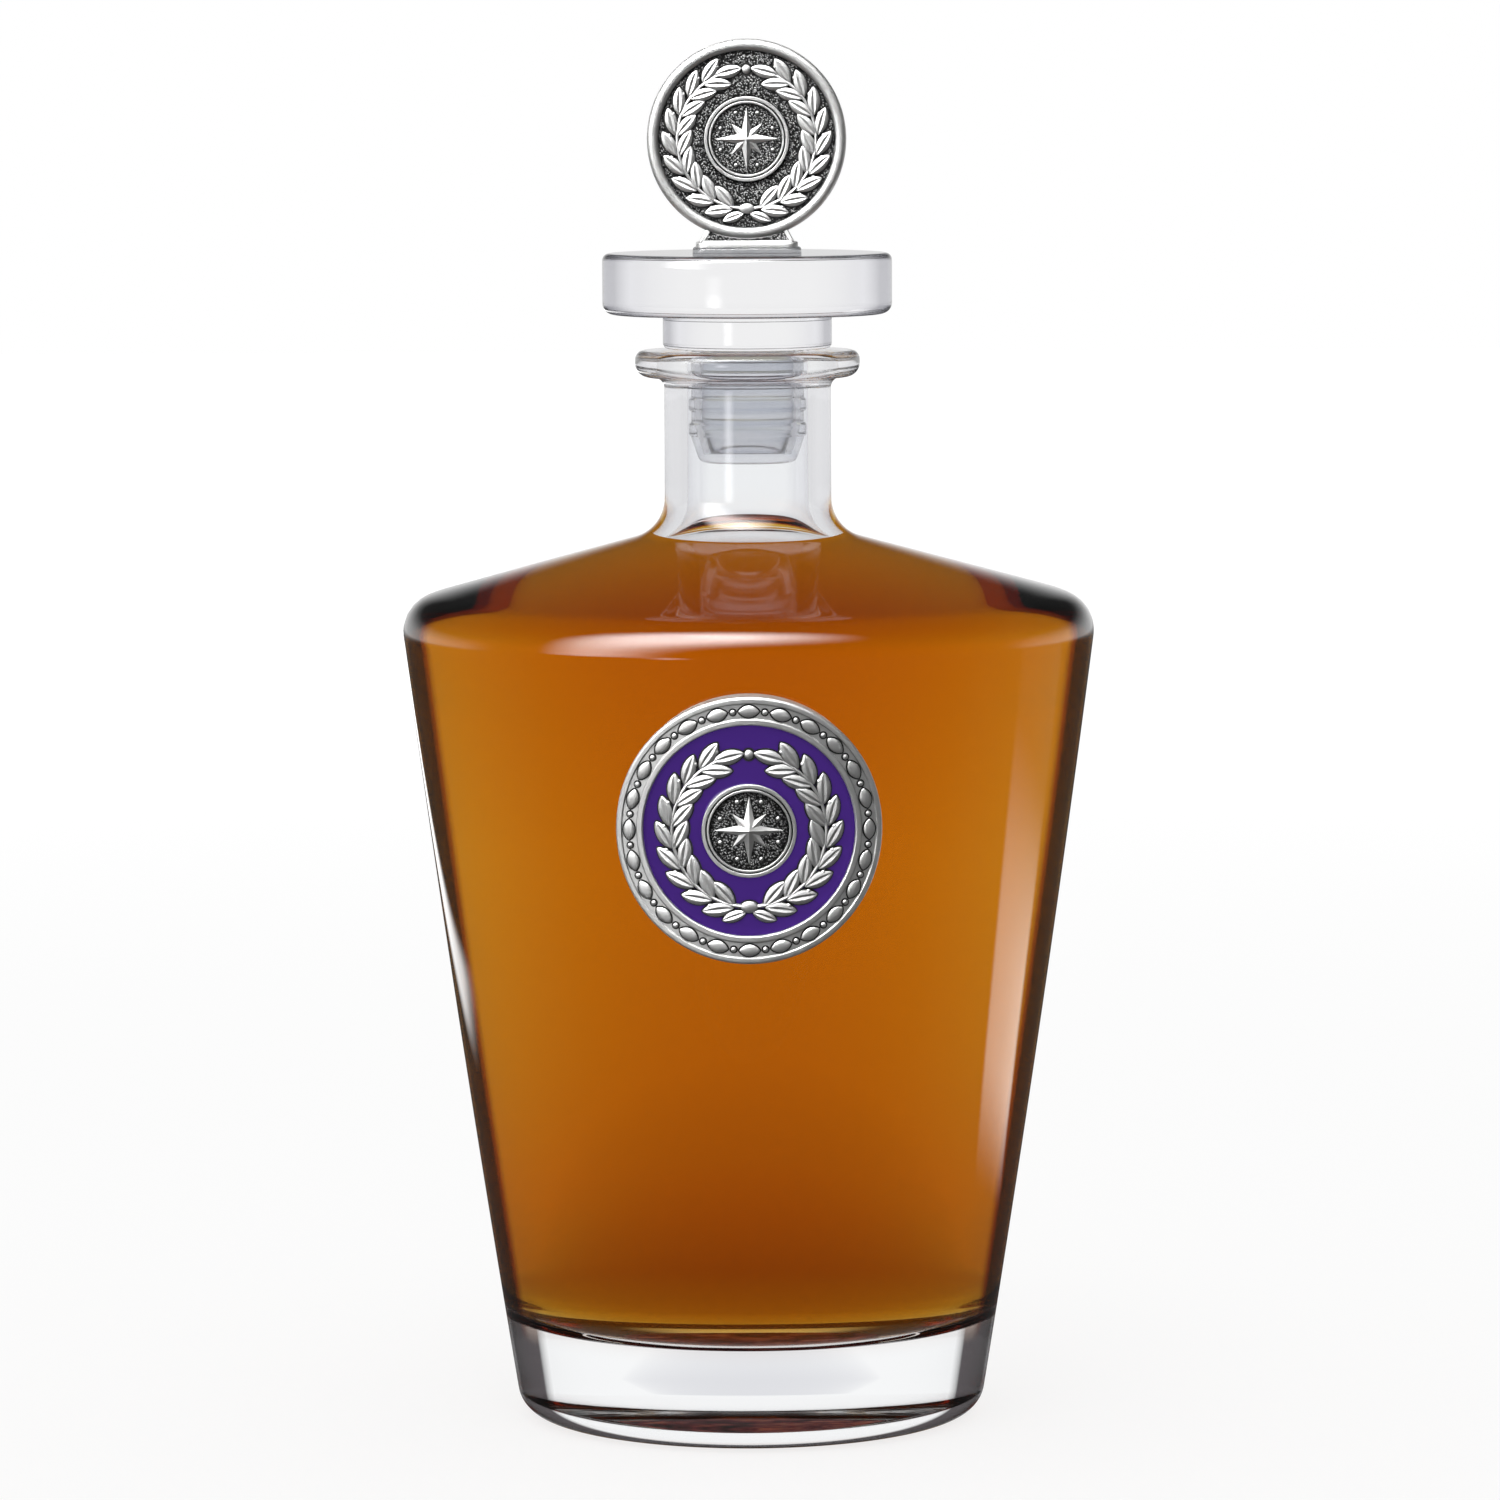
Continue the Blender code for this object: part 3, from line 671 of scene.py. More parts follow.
liquor_mesh = turned(with_stations(liquor_outline, LONGEST_RUN), GLASS_SEGMENTS)
open_layer = liquor_mesh.faces.layers.float.new(OPEN_SURFACE)
for face in liquor_mesh.faces:
    radius, height = middle_of(face)
    face[open_layer] = float(height > LIQUOR_LEVEL - MERGE and radius < brim and face.normal.z > 0)
finish_piece("liquor_fill", liquor_mesh, [spirit], "bottle", "liquor")

# Emblem pad
# A thin clear adhesive pad, cut round, that holds the emblem and takes up the curve of the glass.

EMBLEM_DROP = 31.6 * MM
EMBLEM_RADIUS = 21.8 * MM
EMBLEM_HEIGHT = BODY_HEIGHT - EMBLEM_DROP
RIM_TOP = 2.9 * MM
EMBLEM_SEGMENTS = 216
EMBLEM_RING_STEP = 1.2 * MM
PAD_RADIUS = 17.4 * MM
PAD_BACK = 0.08 * MM
PLATE_BACK = 1.0 * MM
PAD_CLEARANCE = 0.04 * MM
PAD_EDGE = 0.2 * MM


def lay_on_wall(flat):
    """Bend a disc, flat in X and Y with its face towards +Z, over the wall: its rim keeps its width."""
    rise = wall_radius(EMBLEM_HEIGHT + EMBLEM_RADIUS) - wall_radius(EMBLEM_HEIGHT - EMBLEM_RADIUS)
    lean = math.atan2(rise, 2 * EMBLEM_RADIUS)
    for vert in flat.verts:
        across, up, off = vert.co
        height = EMBLEM_HEIGHT + up * math.cos(lean)
        radius = wall_radius(height)
        reach = radius + off * math.cos(lean)
        angle = across / (radius + RIM_TOP)
        vert.co = (reach * math.sin(angle), -reach * math.cos(angle), height - off * math.sin(lean))


def add_bump(tree, height, strength, distance):
    """A normal bumped by a height."""
    bump = add_node(tree, "Bump", {"Height": height, "Strength": strength, "Distance": distance})
    return bump.outputs[0]


# Acrylic adhesive: water clear, with a soft, slightly milky face.

ADHESIVE_CLOUD = 2.5 * MM

clear_adhesive, tree = new_material("acrylic_adhesive")
cloud = add_noise(tree, ADHESIVE_CLOUD, 3.0)
milk = add_ramp(tree, cloud, [(0.3, "D9DCE0"), (0.7, "F2F3F5")])
bump = add_bump(tree, cloud, 0.3, 0.05 * MM)
adhesive = {"Base Color": milk, "Roughness": 0.22, "IOR": 1.48, "Transmission Weight": 0.75, "Normal": bump}
add_finish(tree, adhesive)

pad_face = PLATE_BACK - PAD_CLEARANCE
pad_corners = [
    (0, PAD_BACK, 0),
    (PAD_RADIUS, PAD_BACK, PAD_EDGE),
    (PAD_RADIUS, pad_face, PAD_EDGE),
    (0, pad_face, 0),
]
pad_mesh = turned_solid(pad_corners, EMBLEM_RING_STEP, EMBLEM_SEGMENTS)
lay_on_wall(pad_mesh)
finish_piece("adhesive_pad", pad_mesh, [clear_adhesive], "bottle", "emblem_pad")

# Emblem casting
# A medallion spun-cast in pewter, bent to the bottle, darkened in its recesses and polished on top. A
# bead and reel border runs round its rim, and a laurel wreath round a compass rose fills its field.

RIM_INNER = 17.2 * MM
RIM_EDGE = 0.5 * MM
SKIRT = 0.08 * MM
FIELD = 1.6 * MM
ENAMEL_FACE = 2.28 * MM
BAND_OUTER = 20.8 * MM
BAND_INNER = 18.15 * MM
BAND_FLOOR = 2.68 * MM
BAND_SLOPE = 0.12 * MM
CREASE = 0.1 * MM
SOFT_EDGE = 0.25 * MM
BOSS_RADIUS = 7.6 * MM
BOSS_TOP = 2.7 * MM
BORDER_WIDTH = 0.6 * MM
BORDER_GROOVE = 0.24 * MM
GROOVE_DEPTH = 0.28 * MM
INNER_BORDER_WIDTH = 0.36 * MM
BOSS_FIELD = 2.1 * MM
FACET_ANGLE = math.radians(30)

ROOT = 0.7 * MM
WASH_AND_SHADE_LEVEL = 0.015 * MM
WASH_AND_SHADE_WIDTH = 0.24 * MM

REEL_COUNT = 24
REEL_LENGTH = 3.3 * MM
REEL_WIDTH = 1.9 * MM
REEL_RISE = 0.24 * MM
REEL_SIDE = 0.12 * MM
BORDER_BALL = 0.85 * MM

LEAF_LENGTH = 5.1 * MM
LEAF_WIDTH = 2.3 * MM
LEAF_RISE = 0.36 * MM
LEAF_SIDE = 0.2 * MM
LEAF_SPREAD = math.radians(28)
LEAF_PAIRS = 9
MIDRIB_DEPTH = 0.2 * MM
BERRY = 0.95 * MM
STEM = 0.34 * MM
WREATH_RADIUS = 12.4 * MM
WREATH_START = math.radians(-79)
WREATH_END = math.radians(68)
WREATH_BOTTOM = math.radians(-90)
LEAF_REACH = 1.15
BERRY_REACH = 0.62
BERRY_LEAD = 0.98
TIP_LEAD = 0.42
TAIL_REACH = 0.75
TAIL_LEAD = 0.42
TAIL_TURN = math.radians(-60)
TAIL_SIZE = 0.8
TOP_BERRY_SIZE = 1.6
KNOT_LENGTH = 2.8 * MM
KNOT_WIDTH = 1.9 * MM
KNOT_SIDE = 0.28 * MM

ROSE_POINTS = 4
ROSE_RADIUS = 5.6 * MM
ROSE_WAIST = 1.35 * MM
ROSE_RISE = 0.6 * MM
ROSE_SIDE = 0.08 * MM
LESSER_RADIUS = 3.9 * MM
LESSER_WAIST = 1.25 * MM
LESSER_RISE = 0.4 * MM
ROSE_BALL_REACH = 0.9
ROSE_BALL_SIZE = 0.75
UPRIGHT = math.radians(90)
WIRE_SIDES = 8
WIRE_RUN = 1.0 * MM


def close_below(shape, side, half_length, half_width):
    """Stand an open relief on straight sides, with a narrow ledge for the black wash and painted shadow line,
    and close it.
    """

    def extrude():
        edges = [edge for edge in shape.edges if edge.is_boundary]
        new = bmesh.ops.extrude_edge_only(shape, edges=edges)["geom"]
        return [item for item in new if isinstance(item, bmesh.types.BMVert)], new

    bmesh.ops.translate(shape, vec=(0, 0, WASH_AND_SHADE_LEVEL + side), verts=shape.verts)
    for vert in extrude()[0]:
        vert.co.z = WASH_AND_SHADE_LEVEL
    lower, new = extrude()
    for vert in lower:
        outward = Vector((vert.co.x / half_length**2, vert.co.y / half_width**2, 0)).normalized()
        vert.co += outward * WASH_AND_SHADE_WIDTH
    # The ledge is black: partly antiquing wash, partly a painted shadow line round the form's foot.
    for face in [item for item in new if isinstance(item, bmesh.types.BMFace)]:
        face.material_index = 2
    for vert in extrude()[0]:
        vert.co.z = -ROOT
    hem = [edge for edge in shape.edges if edge.is_boundary]
    bmesh.ops.holes_fill(shape, edges=hem, sides=0)
    bmesh.ops.recalc_face_normals(shape, faces=shape.faces)


def as_mesh(name, shape):
    """Keep a bmesh as a mesh that can be stamped many times."""
    mesh = bpy.data.meshes.new(name)
    shape.to_mesh(mesh)
    shape.free()
    return mesh


def domed_relief(name, length, width, rise, side, point=0.5, midrib=0.0, rows=6):
    """A dome on an oval that gets more pointed with its power, with a groove down its midrib."""
    shape = bmesh.new()
    bmesh.ops.create_grid(shape, x_segments=rows + 4, y_segments=rows, size=1)
    for vert in shape.verts:
        along = math.sin(math.pi / 2 * vert.co.x)
        across = math.sin(math.pi / 2 * vert.co.y)
        half = width / 2 * max(0, 1 - along**2) ** point
        dome = rise * (1 - across**2) ** 0.5 * max(0, 1 - along**2) ** 0.5
        groove = midrib * max(0, 1 - 3 * abs(across)) * (1 - along**2)
        vert.co = (length / 2 * along, half * across, dome - groove)
    bmesh.ops.remove_doubles(shape, verts=shape.verts, dist=MERGE)
    close_below(shape, side, length / 2, width / 2)
    return as_mesh(name, shape)


def faceted_star(name, points, radius, waist, rise):
    """A star whose arms have a sharp ridge, rising to a peak in the middle."""
    shape = bmesh.new()
    bmesh.ops.create_circle(shape, cap_ends=True, cap_tris=True, segments=2 * points, radius=radius)
    for vert in shape.verts:
        if vert.co.length < MERGE:
            vert.co.z = rise
        elif round(math.atan2(vert.co.y, vert.co.x) / (math.pi / points)) % 2:
            vert.co *= waist / radius
    close_below(shape, ROSE_SIDE, radius, radius)
    return as_mesh(name, shape)


def stamp(whole, mesh, place):
    """Add a copy of a small mesh to a bmesh at a place."""
    copy = mesh.copy()
    copy.transform(place)
    whole.from_mesh(copy)
    bpy.data.meshes.remove(copy)


def on_ring(radius, angle, off, turn=0.0, size=1.0):
    """Place at a radius and an angle of the medal, this far off its back, turned and scaled in its plane."""
    spoke = Matrix.Rotation(angle, 4, "Z") @ Matrix.Translation((radius, 0, off))
    return spoke @ Matrix.Rotation(turn, 4, "Z") @ Matrix.Diagonal((size, size, 1, 1))


def add_arc(whole, radius, start, end, off, thickness):
    """A round wire bent along an arc of the medal."""
    wire = bmesh.new()
    bmesh.ops.create_circle(wire, cap_ends=True, segments=WIRE_SIDES, radius=thickness)
    stand = Matrix.Rotation(UPRIGHT, 4, "X")
    bmesh.ops.transform(wire, matrix=on_ring(radius, start, off) @ stand, verts=wire.verts)
    spin(wire, wire.faces[:], end - start, math.ceil((end - start) * radius / WIRE_RUN))
    bmesh.ops.recalc_face_normals(wire, faces=wire.faces)
    stamp(whole, as_mesh("wire", wire), Matrix())


laurel_leaf = domed_relief(
    "laurel_leaf", LEAF_LENGTH, LEAF_WIDTH, LEAF_RISE, LEAF_SIDE, point=0.8, midrib=MIDRIB_DEPTH, rows=8
)
ribbon_knot = domed_relief("ribbon_knot", KNOT_LENGTH, KNOT_WIDTH, LEAF_RISE, KNOT_SIDE)
laurel_berry = domed_relief("laurel_berry", BERRY, BERRY, LEAF_RISE, LEAF_SIDE / 2)
border_reel = domed_relief("border_reel", REEL_LENGTH, REEL_WIDTH, REEL_RISE, REEL_SIDE, point=0.8)
border_ball = domed_relief("border_ball", BORDER_BALL, BORDER_BALL, REEL_RISE, REEL_SIDE)
rose_star = faceted_star("rose_star", ROSE_POINTS, ROSE_RADIUS, ROSE_WAIST, ROSE_RISE)
lesser_star = faceted_star("lesser_star", ROSE_POINTS, LESSER_RADIUS, LESSER_WAIST, LESSER_RISE)


def add_wreath(medal, size, off):
    """Two laurel branches from a knot at the bottom, one up each side."""
    radius = WREATH_RADIUS * size
    leaf_length = LEAF_LENGTH * size
    leaf_width = LEAF_WIDTH * size
    step = (WREATH_END - WREATH_START) / LEAF_PAIRS
    leaf_lead = leaf_length / 2 * math.cos(LEAF_SPREAD) / radius
    leaf_offset = leaf_length / 2 * math.sin(LEAF_SPREAD) * LEAF_REACH
    for side in (1, -1):
        branch = bmesh.new()
        add_arc(branch, radius, WREATH_START - step / 2, WREATH_END, off + LEAF_SIDE / 2, STEM * size)
        for pair in range(LEAF_PAIRS):
            angle = WREATH_START + step * pair
            for outward in (1, -1):
                reach = radius + outward * leaf_offset
                turn = UPRIGHT - outward * LEAF_SPREAD
                stamp(branch, laurel_leaf, on_ring(reach, angle + leaf_lead, off, turn, size))
                reach = radius + outward * leaf_width * BERRY_REACH
                stamp(branch, laurel_berry, on_ring(reach, angle + step * BERRY_LEAD, off, 0, size))
        stamp(branch, laurel_leaf, on_ring(radius, WREATH_END + step * TIP_LEAD, off, UPRIGHT, size))
        tail_angle = WREATH_BOTTOM - leaf_length * TAIL_LEAD / radius
        tail_reach = radius + leaf_width * TAIL_REACH
        stamp(branch, laurel_leaf, on_ring(tail_reach, tail_angle, off, TAIL_TURN, size * TAIL_SIZE))
        bmesh.ops.transform(branch, matrix=Matrix.Diagonal((side, 1, 1, 1)), verts=branch.verts)
        bmesh.ops.recalc_face_normals(branch, faces=branch.faces)
        stamp(medal, as_mesh("branch", branch), Matrix())
    stamp(medal, ribbon_knot, on_ring(radius, WREATH_BOTTOM, off, UPRIGHT, size))
    stamp(medal, laurel_berry, on_ring(radius, UPRIGHT, off, 0, TOP_BERRY_SIZE))


def add_compass_rose(medal, size, off):
    """An eight-pointed rose of two faceted stars, with a ball between its points."""
    ball_size = Matrix.Diagonal((ROSE_BALL_SIZE, ROSE_BALL_SIZE, ROSE_BALL_SIZE, 1))
    stamp(medal, lesser_star, on_ring(0, math.pi / ROSE_POINTS, off, 0, size))
    stamp(medal, rose_star, on_ring(0, 0, off, 0, size))
    for number in range(2 * ROSE_POINTS):
        angle = math.pi * (number + 0.5) / ROSE_POINTS
        reach = ROSE_RADIUS * size * ROSE_BALL_REACH
        stamp(medal, laurel_berry, on_ring(reach, angle, off, 0, size) @ ball_size)


def medal_boss(radius, top, field, size):
    """Corners of the boss in the middle: a border, a groove, a thin inner border and a sunk field."""
    border = radius - BORDER_WIDTH * size
    groove = border - BORDER_GROOVE * size
    inner = groove - INNER_BORDER_WIDTH * size
    return [
        (radius, top, SOFT_EDGE / 2),
        (border, top, CREASE),
        (border - BORDER_GROOVE * size / 4, top - GROOVE_DEPTH, 0),
        (groove + BORDER_GROOVE * size / 4, top - GROOVE_DEPTH, 0),
        (groove, top, CREASE),
        (inner, top, CREASE),
        (inner - CREASE, field, 0),
        (0, field, 0),
    ]


def open_sky(tree, reach, **settings):
    """How much open sky a point sees within a reach: 0 deep in a recess, 1 in the open."""
    return add_node(tree, "AmbientOcclusion", {"Distance": reach}, samples=8, **settings).outputs["AO"]


# Pewter: a grey-white tin alloy, cast with a fine grain. A black wash stays in its recesses, where little
# open sky is seen, and the tops are rubbed bright.

GRAIN = 0.22 * MM
GRAIN_SHARE = 0.16
WASH_REACH = 0.7 * MM

cast_pewter, tree = new_material("antiqued_cast_pewter")
sky_seen = open_sky(tree, WASH_REACH, only_local=True)
grain = add_noise(tree, GRAIN, 4.0)
worn = calculate(tree, "ADD", sky_seen, multiply(tree, grain, GRAIN_SHARE))
wash = add_ramp(tree, worn, [(0.42, "0B0B0B"), (0.62, "464646"), (0.8, "B6B6B6"), (0.97, "DCDCDB")])
gloss = ramp_between(tree, grain, 0.3, 0.7, 0.44, 0.58)
bump = add_bump(tree, grain, 0.35, 0.03 * MM)
add_finish(tree, {"Base Color": wash, "Metallic": 1.0, "Roughness": gloss, "Normal": bump})

# Black wash: matt black on the ledge round every raised form. It is partly the lacquer wash of the antiquing
# and partly a painted shadow line at the form's foot.

LACQUER_CLOUD = 0.6 * MM

black_wash_and_painted_shade, tree = new_material("black_antiquing_lacquer_and_painted_shade")
settled = add_noise(tree, LACQUER_CLOUD, 3.0)
black = add_ramp(tree, settled, [(0.35, "060606"), (0.75, "2A2928")])
add_finish(tree, {"Base Color": black, "Roughness": 0.55})

# Stippled pewter: fields punched all over with a fine matting tool before casting, so they hold the wash.

STIPPLE = 0.3 * MM
STIPPLE_DEPTH = 0.1 * MM
STIPPLE_REACH = 1.05 * MM

stippled_pewter, tree = new_material("stippled_antiqued_pewter")
sky_seen = open_sky(tree, STIPPLE_REACH, only_local=True)
pits = add_node(tree, "TexVoronoi", {"Vector": object_place(tree), "Scale": 1 / STIPPLE})
lumps = ramp_between(tree, pits.outputs["Distance"], 0.1, 0.7, 1.0, 0.25)
tone = multiply(tree, sky_seen, lumps)
wash = add_ramp(tree, tone, [(0.1, "0E0E0E"), (0.4, "3C3C3C"), (0.7, "7C7C7C"), (1.0, "C4C4C4")])
bump = add_bump(tree, lumps, 0.9, STIPPLE_DEPTH)
add_finish(tree, {"Base Color": wash, "Metallic": 1.0, "Roughness": 0.5, "Normal": bump})

casting_materials = (cast_pewter, stippled_pewter, black_wash_and_painted_shade)

casting_corners = [
    (0, PLATE_BACK, 0),
    (PAD_RADIUS + PAD_BACK, PLATE_BACK, 0),
    (PAD_RADIUS + PAD_BACK, SKIRT, 0),
    (EMBLEM_RADIUS, SKIRT, 0),
    (EMBLEM_RADIUS, RIM_TOP, RIM_EDGE),
    (BAND_OUTER, RIM_TOP, CREASE),
    (BAND_OUTER - BAND_SLOPE, BAND_FLOOR, CREASE),
    (BAND_INNER + BAND_SLOPE, BAND_FLOOR, CREASE),
    (BAND_INNER, RIM_TOP, SOFT_EDGE),
    (RIM_INNER, RIM_TOP, SOFT_EDGE),
    (RIM_INNER, FIELD, 0),
    (BOSS_RADIUS, FIELD, 0),
    *medal_boss(BOSS_RADIUS, BOSS_TOP, BOSS_FIELD, 1.0),
]
casting_mesh = turned_solid(casting_corners, EMBLEM_RING_STEP, EMBLEM_SEGMENTS)
for face in casting_mesh.faces:
    if middle_of(face)[0] < BOSS_RADIUS - BORDER_WIDTH * 2 and face.normal.z > 0:
        face.material_index = 1
for number in range(REEL_COUNT):
    angle = 2 * math.pi * number / REEL_COUNT
    middle = (BAND_OUTER + BAND_INNER) / 2
    stamp(casting_mesh, border_reel, on_ring(middle, angle, BAND_FLOOR, UPRIGHT))
    stamp(casting_mesh, border_ball, on_ring(middle, angle + math.pi / REEL_COUNT, BAND_FLOOR))
add_wreath(casting_mesh, 1.0, ENAMEL_FACE)
add_compass_rose(casting_mesh, 1.0, BOSS_FIELD)
lay_on_wall(casting_mesh)
emblem_casting = finish_piece(
    "emblem_medallion", casting_mesh, casting_materials, "bottle", "emblem_casting", FACET_ANGLE
)

# Emblem enamel
# Violet cold enamel, poured into the field between the rim and the boss and round the leaves. It creeps
# a little up the metal as it sets.

ENAMEL_CREEP = 0.12 * MM
CREEP_WIDTH = 0.35 * MM
ENAMEL_CLEARANCE = 0.02 * MM

enamel_back = FIELD + ENAMEL_CLEARANCE
enamel_outline = []
for rim, inward in ((RIM_INNER - ENAMEL_CLEARANCE, -1), (BOSS_RADIUS + ENAMEL_CLEARANCE, 1)):
    creep = [
        (rim, enamel_back),
        (rim, ENAMEL_FACE + ENAMEL_CREEP),
        (rim + inward * CREEP_WIDTH / 3, ENAMEL_FACE + ENAMEL_CREEP / 3),
        (rim + inward * CREEP_WIDTH, ENAMEL_FACE),
    ]
    enamel_outline += [Vector(point) for point in creep[::-inward]]
enamel_outline.insert(0, enamel_outline[-1])

# Epoxy enamel: deep violet and glossy, darker where it is in the shade of the metal beside it.

SHADE_REACH = 0.6 * MM
POUR_DRIFT = 6 * MM
DRIFT_SHARE = 0.1

violet_enamel, tree = new_material("violet_epoxy_enamel")
shade = open_sky(tree, SHADE_REACH)
drift = add_noise(tree, POUR_DRIFT, 2.0)
tone = calculate(tree, "ADD", shade, multiply(tree, drift, DRIFT_SHARE))
violet = add_ramp(tree, tone, [(0.35, "0E0620"), (0.68, "3A1C70"), (1.0, "4A2788")])
gloss = {"Roughness": 0.14, "IOR": 1.52, "Coat Weight": 0.4, "Coat Roughness": 0.05}
add_finish(tree, {"Base Color": violet, **gloss, "Normal": add_bump(tree, drift, 0.4, 0.1 * MM)})

enamel_mesh = turned(with_stations(enamel_outline, EMBLEM_RING_STEP)[:-1], EMBLEM_SEGMENTS, closed=True)
lay_on_wall(enamel_mesh)
finish_piece("enamel_field", enamel_mesh, [violet_enamel], "bottle", "emblem_enamel")

# Stopper seal
# A cup moulded in a soft, milky clear polymer, pushed on the stopper's peg. Two ribs grip the bore, and
# its end tapers to lead it in.

PEG_RADIUS = 7.6 * MM
PEG_STRAIGHT = 12.6 * MM
PEG_TAPER_LENGTH = 4.3 * MM
PEG_END_RADIUS = 6.2 * MM
SEAT_GAP = 0.3 * MM
PEG_CLEARANCE = 0.03 * MM
SLEEVE_RADIUS = 9.3 * MM
SEAL_FLOOR = 1.5 * MM
SEAL_BOTTOM_FILLET = 1.4 * MM
SEAL_END_RADIUS = 7.9 * MM
RIB_RADIUS = 9.7 * MM
RIB_COUNT = 2
RIB_HEIGHT = 2.3 * MM
RIB_PITCH = 4.1 * MM
RIB_DROP = 7.6 * MM
RIB_SLOPE = 0.3 * MM
RIB_EDGE_FILLET = 0.3 * MM
SEAL_LIP_FILLET = 0.3 * MM

collar_bottom = MOUTH_HEIGHT + SEAT_GAP
taper_top = collar_bottom - PEG_STRAIGHT
peg_end = taper_top - PEG_TAPER_LENGTH

seal_bottom = peg_end - SEAT_GAP - SEAL_FLOOR
lowest_rib = MOUTH_HEIGHT - RIB_DROP - RIB_PITCH * (RIB_COUNT - 1) - RIB_HEIGHT
seal_corners = [
    (0, seal_bottom, 0),
    (SEAL_END_RADIUS, seal_bottom, SEAL_BOTTOM_FILLET),
    (SLEEVE_RADIUS, lowest_rib - RIB_SLOPE, 0),
]
for number in range(RIB_COUNT):
    rib_bottom = lowest_rib + RIB_PITCH * number
    rib_top = rib_bottom + RIB_HEIGHT
    seal_corners += [
        (SLEEVE_RADIUS, rib_bottom, 0),
        (RIB_RADIUS, rib_bottom + RIB_SLOPE, RIB_EDGE_FILLET),
        (RIB_RADIUS, rib_top - RIB_SLOPE, RIB_EDGE_FILLET),
        (SLEEVE_RADIUS, rib_top, 0),
    ]
seal_corners += [
    (SLEEVE_RADIUS, MOUTH_HEIGHT, SEAL_LIP_FILLET),
    (PEG_RADIUS + PEG_CLEARANCE, MOUTH_HEIGHT, SEAL_LIP_FILLET),
    (PEG_RADIUS + PEG_CLEARANCE, taper_top, 0),
    (PEG_END_RADIUS + PEG_CLEARANCE, peg_end - PEG_CLEARANCE, 0),
    (0, peg_end - PEG_CLEARANCE, 0),
]

# Thermoplastic elastomer, moulded: milky clear, satin, with faint flow lines round it.

FLOW_STRETCH = (60, 60, 900)

soft_polymer, tree = new_material("milky_thermoplastic_elastomer")
stretched = add_node(tree, "Mapping", {"Vector": object_place(tree), "Scale": FLOW_STRETCH})
flow = add_noise(tree, 1.0, 4.0, stretched.outputs[0])
milk = add_ramp(tree, flow, [(0.3, "EAECF2"), (0.7, "FAFAFC")])
bump = add_bump(tree, flow, 0.4, 0.1 * MM)
polymer = {"Base Color": milk, "Roughness": 0.14, "IOR": 1.16, "Transmission Weight": 0.9, "Normal": bump}
add_finish(tree, polymer)

seal_mesh = turned_solid(seal_corners, LONGEST_RUN, GLASS_SEGMENTS)
finish_piece("ribbed_seal_cup", seal_mesh, [soft_polymer], "seal", "stopper_seal")

# Stopper glass
# A solid pressed glass stopper: a thick flat disc to hold it by, a collar that rests on the mouth and a
# peg that carries the seal. Its edges are fire-polished round.

DISC_RADIUS = 23.9 * MM
DISC_HEIGHT = 10.0 * MM
DISC_TOP_FILLET = 1.2 * MM
DISC_BOTTOM_FILLET = 1.8 * MM
COLLAR_RADIUS = 13.95 * MM
COLLAR_HEIGHT = 5.7 * MM
COLLAR_FILLET = 0.9 * MM
COLLAR_ROOT_FILLET = 1.0 * MM
PEG_EDGE = 0.6 * MM

disc_bottom = collar_bottom + COLLAR_HEIGHT
disc_top = disc_bottom + DISC_HEIGHT

# Flint glass again, with painted edge shade: its tint is a faint grey-violet that deepens to near black
# towards the outline, standing for the dark room that the thick glass would bend into view.

TINT_RISE = 1.0 * MM
# Painted edge shade, by how far a face turns from the eye.
PEG_EDGE_SHADE = [(0.6, "FCFDFE"), (0.9, "E2E2E6")]
DISC_EDGE_SHADE = [
    (0.1, "F6F6F7"),
    (0.4, "E2E2E8"),
    (0.6, "9A9AA2"),
    (0.82, "8A8A96"),
    (0.93, "2E2E38"),
    (1.0, "1E1E22"),
]

thick_glass, tree = new_material("fire_polished_flint_glass_stopper")
facing = facing_away(tree)
height = split(tree, object_place(tree))["Z"]
above_peg = ramp_between(tree, height, collar_bottom, collar_bottom + TINT_RISE)
tint = mix_colours(tree, above_peg, add_ramp(tree, facing, PEG_EDGE_SHADE), add_ramp(tree, facing, DISC_EDGE_SHADE))
add_finish(tree, clear(tint, GLASS_IOR))

stopper_corners = [
    (0, peg_end, 0),
    (PEG_END_RADIUS, peg_end, PEG_EDGE),
    (PEG_RADIUS, taper_top, PEG_EDGE),
    (PEG_RADIUS, collar_bottom, PEG_EDGE),
    (COLLAR_RADIUS, collar_bottom, COLLAR_FILLET),
    (COLLAR_RADIUS, disc_bottom, COLLAR_ROOT_FILLET),
    (DISC_RADIUS, disc_bottom, DISC_BOTTOM_FILLET),
    (DISC_RADIUS, disc_top, DISC_TOP_FILLET),
    (0, disc_top, 0),
]
stopper_mesh = turned_solid(stopper_corners, LONGEST_RUN, GLASS_SEGMENTS)
finish_piece("stopper_disc_and_peg", stopper_mesh, [thick_glass], "stopper", "stopper_glass")

# Finial cement
# A bead of clear epoxy under the finial's foot, squeezed out a little all round.

FINIAL_FOOT_LENGTH = 16.8 * MM
FINIAL_FOOT_DEPTH = 8.0 * MM
FOOT_CORNER = 1.8 * MM
CEMENT_BEAD = 0.55 * MM
CEMENT_ROUND = CEMENT_BEAD * 0.9
CEMENT_THICKNESS = 0.4 * MM
CEMENT_CLEARANCE = 0.02 * MM
CORNER_STEPS = 8
EDGE_STEPS = 4

cement_bottom = disc_top + CEMENT_CLEARANCE
finial_bottom = disc_top + SEAT_GAP + CEMENT_THICKNESS + SEAT_GAP
cement_top = finial_bottom - CEMENT_CLEARANCE


def bevel(shape, edges, offset, segments):
    """Round some edges of a bmesh."""
    settings = {"profile": 0.5, "affect": "EDGES", "material": -1}
    bmesh.ops.bevel(shape, geom=edges, offset=offset, segments=segments, **settings)


